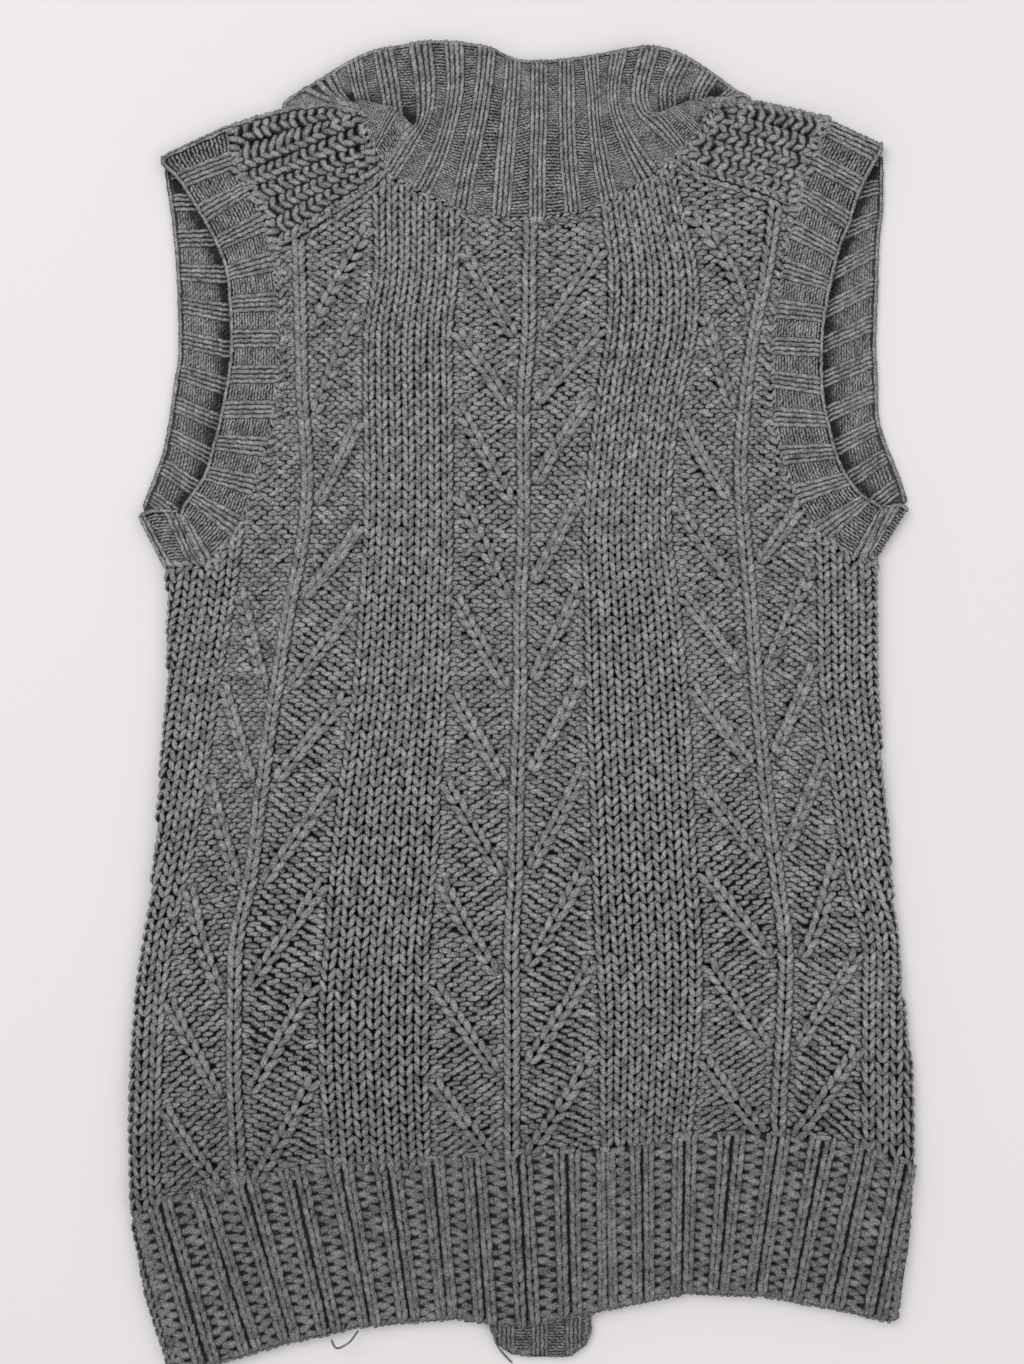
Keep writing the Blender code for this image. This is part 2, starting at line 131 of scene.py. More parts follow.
# The back's knit: the stitch number of each wale that divides its panels, and its x at each height
WALE_STITCH = (5, 10.5, 16, 23, 28.5, 34, 41, 46.5, 52)
SIDE_STITCH = 8.0  # width of the stitches outside the outermost of these wales
WALES = (
    # y, then x of: left edge, left stem, left band's edges, centre stem, right band's edges, right stem, edge
    (-380, -197, -158, -105, -46, 0, 48, 98, 145, 190),
    (-260, -211, -166, -115, -53, -6, 46, 98, 149, 198),
    (-223, -210, -168, -118, -54, -6, 45, 102, 150, 198),
    (-177, -208, -168, -119, -54, -6, 45, 105, 153, 198),
    (-131, -202, -166, -115, -53, -6, 42, 105, 153, 197),
    (-102, -195, -159, -113, -50, -4, 41, 103, 149, 189),
    (-46, -184, -152, -107, -47, -3, 39, 100, 142, 180),
    (9, -176, -144, -99, -43, -1, 37, 97, 137, 173),
    (62, -167, -135, -95, -41, -1, 36, 92, 133, 172),
    (95, -163, -128, -93, -40, 1, 35, 88, 130, 171),
    (137, -160, -125, -92, -40, 1, 38, 88, 127, 167),
    (180, -161, -128, -93, -40, 1, 43, 94, 130, 168),
    (223, -162, -129, -92, -40, 4, 49, 103, 136, 173),
    (251, -163, -130, -87, -37, 4, 50, 103, 142, 179),
    (290, -164, -131, -87, -35, 5, 46, 94, 148, 185),
)
# Every tenth row of the back's knit: y at the left edge, left stem, centre stem, right stem and right edge
ROW_X = (-229, -160, 0, 145, 229)
ROW_LINES = (
    # row, y at each
    (0, -292, -276, -260, -245, -262),
    (10, -228, -221, -207, -194, -190),
    (20, -166, -160, -150, -142, -140),
    (30, -103, -98, -93, -82, -78),
    (40, -40, -39, -38, -27, -22),
    (50, 14, 15, 15, 25, 30),
    (60, 63, 67, 68, 75, 78),
    (70, 118, 122, 123, 126, 128),
    (80, 170, 174, 178, 179, 180),
    (90, 220, 224, 227, 233, 236),
    (100, 270, 273, 277, 287, 290),
    (112, 335, 336, 340, 350, 353),
)
# The hem rib: its upper and lower line at the side edges and at each of the nine wales
HEM_LINES = (
    # upper x, y, lower x, y
    (-228, -296, -205, -386),
    (-211, -289, -187, -385),
    (-166, -274, -141, -371),
    (-115, -266, -96, -361),
    (-53, -264, -40, -356),
    (-6, -261, 0, -361),
    (46, -260, 48, -351),
    (98, -250, 97, -341),
    (149, -250, 142, -343),
    (198, -255, 187, -351),
    (229, -269, 219, -359),
)
HEM_ROWS = 16
HEM_ROW = 5.9  # height of each
# x of the middle of each purl column of the hem rib, at its upper and its lower line
HEM_PURLS = (
    (-224, -197), (-199, -170), (-176, -146), (-149, -124), (-120, -100), (-93, -77),
    (-65, -54), (-40, -33), (-16, -9), (12, 16), (39, 40), (58, 60),
    (82, 82), (108, 104), (137, 125), (162, 147), (189, 168), (212, 193),
)
HEM_PITCH = 25.0  # from one of them to the next
HEM_WALES = (0.34, 0.66)  # where the two wales between them stand, as shares of the way

YOKE_STITCH = 5.6  # width of the yokes' stitches
# Left and right: tilt of the beans; the legs' radius, tilt, longest length and shift; tilt of the fold's edge
YOKE_LEAN = ((-0.5, 2.95, 1.12, 10.6, 0.8, -0.1), (-0.8, 3.1, 0.68, 9.2, 0.05, -0.6))
# How far each garter ridge of the left and the right yoke is down from the shoulder's fold
YOKE_RIDGES = ((12.0, 23.5, 34.0, 43.0, 51.5, 60.0, 68.5), (11.5, 21.5, 31.0, 39.5, 47.5, 55.5, 63.5))
RIB_ROW = 3.4  # height of a row of the fine ribs
RIB_KNIT, RIB_PURL = 3.7, 2.9  # widths of their knit and purl stitches, unstretched
RIB_PITCH = 20.8  # width of a repeat of the armhole bands' rib

# Fronts' half of the armholes, corner fold to the yokes' front edge
ARMHOLE_FRONT = (
    (-208, 80, -224, 111, 207, 85, 226, 115),
    (-197, 84, -222, 116, 197, 90, 225, 119),
    (-185, 94, -220, 122, 186, 99, 223, 128),
    (-178, 109, -215, 135, 179, 113, 218, 142),
    (-174, 126, -210, 149, 176, 131, 213, 154),
    (-171, 147, -207, 164, 174, 150, 209, 167),
    (-171, 170, -204, 184, 174, 173, 208, 188),
    (-170, 197, -201, 205, 174, 197, 207, 211),
    (-170, 226, -201, 232, 174, 226, 208, 243),
    (-171, 255, -202, 256, 176, 255, 209, 273),
    (-171, 281, -204, 280, 178, 281, 211, 293),
    (-172, 302, -207, 302, 179, 306, 211, 311),
)
# Left and right: their top under the shoulder, and the ends of their corner's foot
ARMHOLE_SHOULDER = ((-174, 328, -209, 314), (181, 332, 211, 322))
ARMHOLE_CORNER = (((-208, 81), (-187, 83)), ((207, 84), (198, 85)))
BAND_TOPS = (10.8, 10.2, 8.8)  # height of the armhole bands' face at the seam, the middle and the free edge
CORNER_TOP = 8.6

# The collar's upper layer, one row for each rib that is followed, its number first
COLLAR_BACK = (
    # rib, seam x, y, z, crest x, y, z, pinch x, y, z, middle x, y, z, top x, y, z
    (-3, -94, 346, 9.5, -95, 351, 13, -100, 351.5, 6, -109, 357, 6.5, -116.5, 366.6, 7),
    (-2, -91, 338, 10.5, -85, 349, 17, -90.5, 346.5, 5.5, -95, 360, 6.5, -98.5, 377.7, 7),
    (-1, -87, 325, 10.8, -75, 345, 18, -75, 342.5, 5.5, -77.5, 362, 7, -82, 384, 7),
    (-0.45, -82, 318, 10.8, -68, 338, 18, -64, 339.5, 9, -66, 362, 8, -70, 386, 7),
    (0, -77, 310, 10.8, -66, 326, 17, -57, 342, 13.5, -56, 362, 9.5, -59, 388, 7.2),
    (1, -59, 300, 10.8, -49, 318, 16, -43, 336, 15.5, -39, 360, 11, -40, 388, 7.4),
    (2, -36, 290, 10.8, -32, 311, 15, -26, 337, 15, -22, 363, 11, -20, 385, 7.4),
    (3, -12, 285, 10.8, -10, 312, 14.5, -8, 336, 14.5, -6, 360, 10.5, -5, 378, 7.2),
    (4, 9, 285, 10.8, 9, 316, 14.5, 10, 340, 14.5, 10, 357, 10.5, 10, 377, 7),
    (5, 30, 288, 10.8, 27, 316, 14.5, 26, 340, 14.5, 26, 357, 10.5, 26, 378, 7),
    (6, 51, 295, 10.8, 46, 316, 15, 43, 338, 15, 42, 357, 11, 40, 380, 7.3),
    (7, 73, 308, 10.8, 64, 322, 16, 55, 342, 15.5, 53, 360, 11, 57, 383, 7.4),
    (7.6, 89, 319, 10.8, 74, 331, 17, 64, 345, 15, 62, 360, 10, 67, 385, 7.2),
    (8, 94, 324, 10.8, 79, 339, 18, 71, 346, 13, 69, 360, 9, 75, 385.5, 7.2),
    (9, 104, 334, 10.8, 87, 346, 18, 86.5, 343.5, 5.5, 85, 360, 7, 94, 380.5, 7),
    (10, 108, 344, 10.5, 98, 350.5, 16.5, 101, 348, 5.5, 104, 358.5, 6.5, 110.5, 370, 7),
    (11, 111, 349, 9.5, 108.5, 352.5, 13, 113, 353.8, 6, 119, 355.5, 6.5, 125.5, 359, 7),
)
COLLAR_FOLDS = (
    # rib, then x, y of the five points along the fold
    (-4, (-95.5, 343), (-100, 346), (-110, 347.5), (-124, 348.5), (-139, 348.5)),
    (12, (111.5, 346), (114, 348.5), (119, 350), (126, 351), (133, 351)),
)
COLLAR_EDGE = 7.0  # thickness of the collar's folds
COLLAR_ROWS = 29
ARMHOLE_ROWS = 8.4  # rows across the armhole bands
INSIDE_ROWS = 10.6  # rows across their fronts' half, which is wider
COLLAR_FRONT_LEFT = (
    # seam x, y, top x, y, from the centre front to the fold
    (10, 262, 10, 374),
    (-20, 262, -15, 379),
    (-50, 269, -38, 385),
    (-78, 290, -58, 384),
    (-95.5, 318, -83, 380),
    (-95.5, 338, -101, 370),
)
COLLAR_FRONT_RIGHT = (
    (11, 262, 11, 374),
    (41, 262, 48, 378),
    (70, 269, 66, 382),
    (98, 290, 88, 380),
    (114.5, 318, 104, 370),
    (114.5, 338, 117, 362),
)
# The shoulder's fold from the armhole to the neck, and the places where yoke and collar meet behind it
YOKE_FOLDS = (
    ((-173, 338), (-152, 345), (-133, 349.8), (-115, 351.3), (-99, 351)),
    ((180, 343), (163, 347.5), (146, 351.5), (130, 353.4), (118, 353)),
)
YOKE_NOOKS = (
    ((-89, 344), (-94, 347), (-100, 348.5), (-108, 350)),
    ((104, 348), (109, 351), (116, 351.5), (124, 352.5)),
)
YOKE_COLLAR = (COLLAR_BACK[4::-1], COLLAR_BACK[12:])  # rows of the collar along them, foot to fold
YOKE_FRONTS = ((-97, 318), (116, 318))  # where their front edge meets the collar
YOKE_CORNERS = ((((-97.6, 344), (-98.6, 351)),), (((108, 348), (110, 354)), ((114.5, 348), (116.5, 354))))
SHOULDER_LEAN = 0.27  # how far the shoulders slope out, per millimetre up
# Sewn-in ends of yarn on the hem: x, y, z along each
LOOSE_ENDS = (
    ((-16.6, -364, 7.0), (-15.6, -371, 6.4), (-12.8, -376.8, 4.6), (-9.4, -381.4, 2.6), (-5.4, -386.2, 1.0)),
    ((-111.2, -368, 12.0), (-108.2, -373.2, 12.6), (-101.8, -370.9, 12.8), (-94.8, -362.7, 12.2)),
)

# Cloth, flat width and length in metres, area in square metres, what it lies on, and the pieces of its knit
FRONTS = ("front_left_cloth", "front_right_cloth")
CUTS = (
    ("back_ground", 0.458, 0.705, 0.257, (*FRONTS, "front_band_upper_cloth"), ("back_", "hem_")),
    ("front_left_cloth", 0.209, 0.700, 0.123, (), ("front_left_",)),
    ("front_right_cloth", 0.188, 0.674, 0.107, (), ("front_right_",)),
    ("front_band_lower_cloth", 0.061, 0.643, 0.039, (), ("front_band_lower_",)),
    (
        "front_band_upper_cloth", 0.061, 0.643, 0.039, ("front_band_lower_cloth",),
        ("front_band_upper_", "front_band_end"),
    ),
    ("armhole_band_left_cloth", 0.034, 0.540, 0.017, ("front_left_cloth",), ("armhole_rib_left",)),
    ("armhole_band_right_cloth", 0.034, 0.540, 0.017, ("front_right_cloth",), ("armhole_rib_right",)),
    ("shoulder_yoke_left_cloth", 0.104, 0.086, 0.0080, ("front_left_cloth",), ("shoulder_yoke_left_",)),
    ("shoulder_yoke_right_cloth", 0.100, 0.070, 0.0060, ("front_right_cloth",), ("shoulder_yoke_right_",)),
    ("collar_cloth", 0.470, 0.100, 0.043, FRONTS, ("collar_rib",)),
)
# Front bands: y, then x of their left and right edge, top to the rounded lower end
BAND_ROWS = (
    (261.6, -19.6, 40.6),
    (-355, -19.6, 40.6),
    (-366, -18.5, 40.6),
    (-374, -14, 38),
    (-379, -7, 31),
    (-381, 4, 27),
)
BAND_TOP = 5.3  # height of the middle of their rib's strands
BAND_MIDDLE = 10.5  # x of their middle rib
BAND_PITCH = 19.6  # width of a repeat of their rib

FRONT_MIDDLE = (-20.0, 41.0)  # x of the left and the right front's inner edge, under the bands
LENS = 54.3  # of the camera, on a sensor 36 mm wide
EYE_X, EYE_Y = -0.00585, 0.01404  # its place in metres, nearly over the vest's middle

STEMS = (10.5, 28.5, 46.5)  # stitch number of each stem's wale
KNIT_BANDS = ((16, 23), (34, 41))  # first stitch of each band between the panels, and the one past it
FIELD_HALF = 5.5  # stitches from a stem's middle to the edge of its panel
# Rows where each stem's branches start at the stem, then where they end at the panel's edge, left then right
BRANCHES = (
    (
        ((0, 10, 20, 30, 40, 50), (8.3, 18.4, 28.8, 38.8, 49, 59.5)),
        (
            (0.5, 10, 20.2, 30, 40, 50, 60, 70, 80, 90),
            (9.7, 19, 28.6, 38.3, 48, 58.1, 66.6, 77.8, 90.5, 100.5),
        ),
    ),
    (
        (
            (0, 9.9, 20, 30, 40, 50, 60, 70.2, 80, 88.5),
            (8.3, 18.2, 28.4, 38.5, 48.4, 58.8, 69.8, 79.3, 88, 97.5),
        ),
        (
            (0.4, 10.5, 20.5, 30.5, 40.7, 50.8, 61.5, 72, 80.5, 89),
            (9.7, 19.4, 29.5, 39.5, 49.5, 59.6, 69.6, 79.8, 88, 97),
        ),
    ),
    (
        (
            (0.2, 10, 20.2, 29.6, 39.7, 50, 59.8, 70, 80, 90),
            (8, 18.6, 27.7, 37.3, 47.6, 58, 68.4, 77.4, 89, 100),
        ),
        ((0.2, 10, 19.9, 30.4, 40.6, 50.2, 62.5), (8.4, 19.2, 28.6, 38.7, 49.1, 60.5, 69)),
    ),
)
# The inside label's sewing, which draws the back's knit in: its middle x, half its width, y of its top seam,
# middle and half of the height of its side seams, and how wide and how deep it sinks the knit
LABEL_X, LABEL_HALF, LABEL_TOP, LABEL_MIDDLE, LABEL_REACH = 4.4, 27.2, 262, 238, 25
LABEL_GROOVE, LABEL_DEPTH = 2.2, 1.5


def linear(hex_color):
    """An sRGB hex colour as linear RGBA."""
    channels = np.array([int(hex_color[i : i + 2], 16) for i in (1, 3, 5)]) / 255
    bright = ((channels + 0.055) / 1.055) ** 2.4
    return (*np.where(channels <= 0.04045, channels / 12.92, bright), 1.0)


def smooth(x, knots, values):
    """A curve through (knot, value) points: each cubic piece leaves a knot along its neighbours' slope.

    Beyond the ends it goes on straight. values may hold several columns, and then so does the result.
    """
    knots, values = np.asarray(knots, float), np.asarray(values, float)
    x = np.asarray(x, float)
    slope = np.gradient(values, knots, axis=0)
    i = np.clip(np.searchsorted(knots, x) - 1, 0, len(knots) - 2)
    step = knots[i + 1] - knots[i]
    t = (x - knots[i]) / step
    inside = np.clip(t, 0, 1)
    extra = (t - inside) * step
    columns = x.shape + (1,) * (values.ndim - 1)
    step, t, extra = step.reshape(columns), inside.reshape(columns), extra.reshape(columns)
    start, end = values[i], values[i + 1]
    leave, arrive = slope[i] * step, slope[i + 1] * step
    curve = (1 + 2 * t) * (1 - t) ** 2 * start + t * t * (3 - 2 * t) * end
    curve += t * (1 - t) ** 2 * leave - t * t * (1 - t) * arrive
    return curve + extra * np.where(extra < 0, slope[i], slope[i + 1])


def pick(x, knots, rows):
    """Linear interpolation where each x has its own row of values: rows is shaped (*x.shape, len(knots))."""
    knots = np.asarray(knots, float)
    i = np.clip(np.searchsorted(knots, x) - 1, 0, len(knots) - 2)
    t = (x - knots[i]) / (knots[i + 1] - knots[i])
    low = np.take_along_axis(rows, i[..., None], -1)[..., 0]
    high = np.take_along_axis(rows, i[..., None] + 1, -1)[..., 0]
    return low + t * (high - low)


def wander(u, v, seed, size=(6.0, 9.0)):
    """Gentle unevenness, -1 to 1: four crossing sine waves of random direction, size stitches long."""
    rng = np.random.default_rng(seed)
    total = 0
    for _ in range(4):
        angle, phase = rng.uniform(0, 2 * np.pi, 2)
        pitch = rng.uniform(*size)
        total = total + np.sin((u * np.cos(angle) + v * np.sin(angle)) * 2 * np.pi / pitch + phase)
    return total / 4


def stitches(columns, rows):
    """Every stitch of a field of them: its column and its row, row by row."""
    return [a.ravel().astype(float) for a in np.meshgrid(columns, rows)]


def upwards(shape):
    """Normals straight up, for places of that shape."""
    return np.zeros((*shape, 3)) + (0.0, 0.0, 1.0)


def body_plan(u, v):
    """x and y on the back of stitch u, row v: the wales' x at that height, then the row's y at that x."""
    lines = np.array(ROW_LINES, float)
    wales = np.array(WALES, float)
    rows = smooth(v, lines[:, 0], lines[:, 1:])
    y = pick(np.zeros_like(u), ROW_X, rows)
    for _ in range(2):
        across = smooth(y, wales[:, 0], wales[:, 1:])
        inside = np.clip(u, WALE_STITCH[0], WALE_STITCH[-1])
        x = pick(inside, WALE_STITCH, across) + (u - inside) * SIDE_STITCH
        y = pick(x, ROW_X, rows)
    return x, y


def side_edges(y):
    """x of the back's left and right edge at a height, down the sides and up the armhole seams."""
    sides = np.array(SIDE_ROWS, float)
    holes = np.array(BACK_HOLES, float)
    left = np.interp(y, np.r_[sides[:, 1], holes[:, 1]], np.r_[sides[:, 0], holes[:, 0]])
    right = np.interp(y, np.r_[sides[:, 3], holes[:, 5]], np.r_[sides[:, 2], holes[:, 4]])
    return left, right


def rolled(x, y):
    """Flat cloth at (x, y) laid over the body, its sides rolled down: where it lies, its normal, and its arc.

    Past ROLL millimetres from a side edge it turns down in a quarter ellipse; arc is how far round it is.
    """
    left, right = side_edges(y)
    past_right, past_left = x - (right - ROLL), (left + ROLL) - x
    arc = np.clip(np.where(past_right > 0, past_right, past_left), 0, None) * (y < UNDERARM)
    side = np.where(past_right > 0, 1.0, -1.0)
    angle = np.clip(arc / ROLL_ARC, 0, 1) * np.pi / 2
    edge = np.where(side > 0, right - ROLL, left + ROLL)
    x_out = np.where(arc > 0, edge + side * ROLL * np.sin(angle), x)
    z = BACK_TOP - STITCH_DEPTH - ROLL_DROP * (1 - np.cos(angle))
    normal = np.stack([side * np.sin(angle) / ROLL, np.zeros_like(x), np.cos(angle) / ROLL_DROP], -1)
    normal /= np.linalg.norm(normal, axis=-1, keepdims=True)
    return np.stack([x_out, y, z], -1), normal, arc


def body_surface(u, v):
    """The back's cloth: where stitch u, row v lies, which way its face points, and its room.

    Room is how far it is inside the end of a side's roll, the armhole seams, and the neck and yoke seams.
    """
    x, y = body_plan(u, v)
    place, normal, arc = rolled(x, y)
    left, right = side_edges(y)
    top = np.array(TOP_EDGE, float)
    room = np.where(y < UNDERARM, ROLL_ARC - arc, np.minimum(x - left, right - x))
    room = np.where(y < NECK_START, room, np.minimum(room, np.interp(x, top[:, 0], top[:, 1]) - y))
    beside = np.abs(x - LABEL_X) - LABEL_HALF
    drawn = np.exp(-(((y - LABEL_TOP) / LABEL_GROOVE) ** 2) - (np.clip(beside, 0, None) / 2) ** 2)
    drawn = drawn + np.exp(-((beside / LABEL_GROOVE) ** 2)) * (np.abs(y - LABEL_MIDDLE) < LABEL_REACH)
    place = place - (0, 0, LABEL_DEPTH) * np.minimum(drawn, 1)[..., None]
    return place, normal, room


def hem_surface(u, v):
    """The hem rib: u counts its purl columns, and row v goes from 0 at its top down to -HEM_ROWS at the edge.

    Each column is straight from its place on the rib's upper line to its place on the lower one.
    """
    lines, purls = np.array(HEM_LINES, float), np.array(HEM_PURLS, float)
    upper, lower = np.moveaxis(smooth(u, np.arange(len(purls)), purls), -1, 0)
    upper_y = np.interp(upper, lines[:, 0], lines[:, 1])
    lower_y = np.interp(lower, lines[:, 2], lines[:, 3])
    down = -v / HEM_ROWS
    place, normal, arc = rolled(upper + down * (lower - upper), upper_y + down * (lower_y - upper_y))
    return place, normal, np.where(down <= 1.05, ROLL_ARC - arc, -AMPLE)


class Cloth:
    """A curved piece of cloth, from stations along it with the same number of points across each.

    Between them it is a smooth surface, sampled once on a fine grid. A place on it is along (in the stations'
    own numbers) and across (0 to 1); its outward normal is the cross product of the two, times facing.
    """

    def __init__(self, along, stations, facing=1.0, across=None, fine=(241, 49)):
        stations = np.asarray(stations, float)
        if across is None:
            steps = np.linalg.norm(np.diff(stations, axis=1), axis=-1).mean(axis=0)
            across = np.concatenate([[0], np.cumsum(steps)]) / steps.sum()
        self.along = np.linspace(along[0], along[-1], fine[0])
        self.across = np.linspace(0, 1, fine[1])
        first = smooth(self.along, along, stations)
        self.grid = smooth(self.across, across, first.swapaxes(0, 1)).swapaxes(0, 1)
        normal = np.cross(np.gradient(self.grid, axis=0), np.gradient(self.grid, axis=1)) * facing
        self.normal = normal / (np.linalg.norm(normal, axis=-1, keepdims=True) + 1e-12)

    def at(self, along, across):
        """Place, outward normal and room, bilinear between the grid's points.

        Room is AMPLE on the cloth and -AMPLE past its ends and its rims, and where it faces down.
        """
        count = self.grid.shape[:2]
        a = (along - self.along[0]) / (self.along[-1] - self.along[0]) * (count[0] - 1)
        b = np.asarray(across) * (count[1] - 1)
        kept = (a >= -0.01) & (a <= count[0] - 0.99) & (b >= -1.0) & (b <= count[1] - 0.6)
        i = np.clip(a.astype(int), 0, count[0] - 2)
        j = np.clip(b.astype(int), 0, count[1] - 2)
        s, t = (a - i)[..., None], (b - j)[..., None]
        corners = ((0, 0, (1 - s) * (1 - t)), (1, 0, s * (1 - t)), (0, 1, (1 - s) * t), (1, 1, s * t))
        place, normal = (
            sum(part * g[i + k, j + m] for k, m, part in corners) for g in (self.grid, self.normal)
        )
        normal = normal / np.linalg.norm(normal, axis=-1, keepdims=True)
        return place, normal, np.where(kept & (normal[..., 2] > -0.6), AMPLE, -AMPLE)

    def shell(self, outer=1.4, inner=2.9, wave=None):
        """The closed wall under the stitches, from outer to inner millimetres below the cloth's face.

        wave, if there is one, gives how far its outer face is raised at each place along.
        """
        lift = np.zeros(self.grid.shape[:2])
        if wave:
            lift = lift + wave(self.along)[:, None]
        face = self.grid - self.normal * (outer - lift)[..., None]
        return shell(face[::2, ::4], (self.grid - self.normal * inner)[::2, ::4])


def running(stations):
    """Millimetres along the middle of a set of stations."""
    middle = np.asarray(stations, float).mean(axis=1)
    return np.concatenate([[0], np.cumsum(np.linalg.norm(np.diff(middle, axis=0), axis=1))])


def folded(line, outwards, top, steps):
    """Stations round a fold, from the upper layer to the lower: half circles through its outermost points.

    The circles stand in the direction outwards, top millimetres high; their centres are half of it inside.
    """
    outwards = np.array(outwards, float)
    radius = np.full(len(line), top) / 2
    centre = np.asarray(line, float) - radius[:, None] * outwards
    angles = np.radians(np.linspace(90, -90, steps))[:, None]
    plan = centre + (radius * np.cos(angles))[..., None] * outwards
    return np.concatenate([plan, (radius + radius * np.sin(angles))[..., None]], -1)


def level(points, z):
    """A station at a height: its points' x and y, and z."""
    points = np.asarray(points, float)
    return np.column_stack([points, np.full(len(points), z)])


def armhole_cloth(side):
    """The armhole band's face: up the back, over the shoulder, down the front, and its corner's fold."""
    columns = slice(0, 4) if side < 0 else slice(4, 8)

    def section(row, gap=SEAM_GAP):
        seam, free = np.array(row[columns][:2], float), np.array(row[columns][2:], float)
        seam = seam + (free - seam) / np.linalg.norm(free - seam) * gap
        return np.array([seam, (seam + free) / 2, free])

    stations = [level(section(ARMHOLE_BACK[0], 0.8), BAND_TOPS)]
    stations += [level(section(row), BAND_TOPS) for row in ARMHOLE_BACK[1:-1]]
    shoulder = np.array([side * SHOULDER_LEAN, 1.0]) / np.hypot(SHOULDER_LEAN, 1.0)
    stations += list(folded(section(ARMHOLE_BACK[-1]), shoulder, BAND_TOPS, 7))
    stations += [level(section(row), 0.0) for row in ARMHOLE_FRONT[:0:-1]]
    corner = section(ARMHOLE_FRONT[0], 2.4)
    way = (corner[2] - corner[0]) / np.linalg.norm(corner[2] - corner[0])
    stations += list(folded(corner, np.array([way[1], -way[0]]) * side, CORNER_TOP, 5)[::-1])
    stations.append(level(section(ARMHOLE_BACK[0]) + (0, 1.6), CORNER_TOP - 3.8))
    stations = np.array(stations)
    return Cloth(running(stations), stations, facing=-side, fine=(421, 25))


def yoke_cloth(side):
    """The shoulder yoke's face, from its foot up the back, over the shoulder and down to its front edge.

    Also returned is how far along it the shoulder's fold is.
    """
    hand = int(side > 0)
    columns = (slice(0, 2), slice(4, 6))[hand]
    foot = YOKE_FEET[hand][:: (1, -1)[hand]]
    share = np.linspace(0, 1, 5)[:, None]
    outwards = np.array([side * SHOULDER_LEAN, 1.0]) / np.hypot(SHOULDER_LEAN, 1.0)
    stations = [level(np.array(foot) + outwards * SEAM_GAP, BACK_TOP)]
    for row, collar in zip(ARMHOLE_BACK[11:-1], YOKE_COLLAR[hand][1:]):
        start, end = np.array(row[columns], float), np.array(collar[1:3], float)
        stations.append(level(start * (1 - share) + end * share, BACK_TOP))
    stations += list(folded(YOKE_FOLDS[hand], outwards, BACK_TOP, 7))
    start, end = np.array(ARMHOLE_FRONT[-1][columns]), np.array(YOKE_FRONTS[hand])
    stations.append(level(start * (1 - share) + end * share + outwards * SEAM_GAP, 0.0))
    stations = np.array(stations)
    along = running(stations)
    return Cloth(along, stations, facing=side, fine=(121, 49)), along[8]


def collar_cloth():
    """The collar's face, from the centre front round the left fold, the back and the right fold."""
    share = np.linspace(0, 1, 5)[:, None]
    ribs, stations = [], []

    def front(rows, numbers):
        for (seam_x, seam_y, top_x, top_y), rib in zip(rows, numbers):
            seam, top = np.array([seam_x, seam_y], float), np.array([top_x, top_y], float)
            seam = seam + (top - seam) / np.linalg.norm(top - seam) * SEAM_GAP
            ribs.append(rib)
            stations.append(level(seam * (1 - share) + top * share, 0.0))

    front(COLLAR_FRONT_LEFT, (-10.2, -8.9, -7.5, -6.4, -5.4, -4.6))
    for number, (rib, *line) in enumerate(COLLAR_FOLDS):
        order = -1 if number == 0 else 1
        turn = folded(line, (0.0, -1.0), COLLAR_EDGE, 5)[::order]
        if number:
            for row in COLLAR_BACK:
                points = np.array(row[1:], float).reshape(5, 3)
                way = points[1, :2] - points[0, :2]
                points[0, :2] += way / np.linalg.norm(way) * SEAM_GAP
                ribs.append(row[0])
                stations.append(points)
        ribs += list(rib + np.linspace(-0.4, 0.4, 5))
        stations += list(turn)
    front(COLLAR_FRONT_RIGHT[::-1], (12.6, 13.4, 14.4, 15.5, 16.9, 18.2))
    return Cloth(ribs, stations, facing=1.0, across=(0, 0.27, 0.5, 0.74, 1.0), fine=(481, 61))


def relief(u):
    """How far the back's knit stands over its cloth, in millimetres: bands are domed, purl fields lie low."""
    height = np.full(np.shape(u), 0.4)
    for low, high in KNIT_BANDS:
        inside = (u > low) & (u < high)
        height = np.where(inside, 0.3 + 1.1 * np.sin(np.pi * np.clip((u - low) / (high - low), 0, 1)), height)
    for stem in STEMS:
        off = np.abs(u - stem)
        field = -1.1 + 0.5 * np.clip(off / FIELD_HALF, 0, 1) ** 2
        height = np.where(off < FIELD_HALF, field, height)
    return height


def mesh_piece(name, points, triangles, material, strand=None, node=None):
    """A mesh object from points in millimetres, riding on the body, in the place of node if given.

    What would be less than a millimetre over the floor is pressed flat above it.
    """
    mesh = bpy.data.meshes.new(name)
    z = points[:, 2]
    points[:, 2] = np.where(z < 1, 0.1 + 0.9 * np.exp(np.minimum(z, 1) - 1), z)
    mesh.vertices.add(len(points))
    mesh.vertices.foreach_set("co", (np.asarray(points, np.float32) * MM).ravel())
    mesh.loops.add(triangles.size)
    mesh.loops.foreach_set("vertex_index", np.ascontiguousarray(triangles, np.int32).ravel())
    mesh.polygons.add(len(triangles))
    mesh.polygons.foreach_set("loop_start", np.arange(0, triangles.size, 3, dtype=np.int32))
    mesh.polygons.foreach_set("use_smooth", np.full(len(triangles), True))
    if strand is not None:
        attribute = mesh.attributes.new("strand", "FLOAT_VECTOR", "POINT")
        attribute.data.foreach_set("vector", np.asarray(strand, np.float32).ravel())
    mesh.update(calc_edges=True)
    mesh.materials.append(material)
    piece = bpy.data.objects.new(name, mesh)
    bpy.context.scene.collection.objects.link(piece)
    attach(piece, "root")
    if node:
        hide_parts(node)


def knit_piece(name, parts, material):
    """The mesh object of all the strands in parts, each as tubes() returns them."""
    points, triangles, strand = join(parts)
    mesh_piece(name, points, triangles, material, strand)


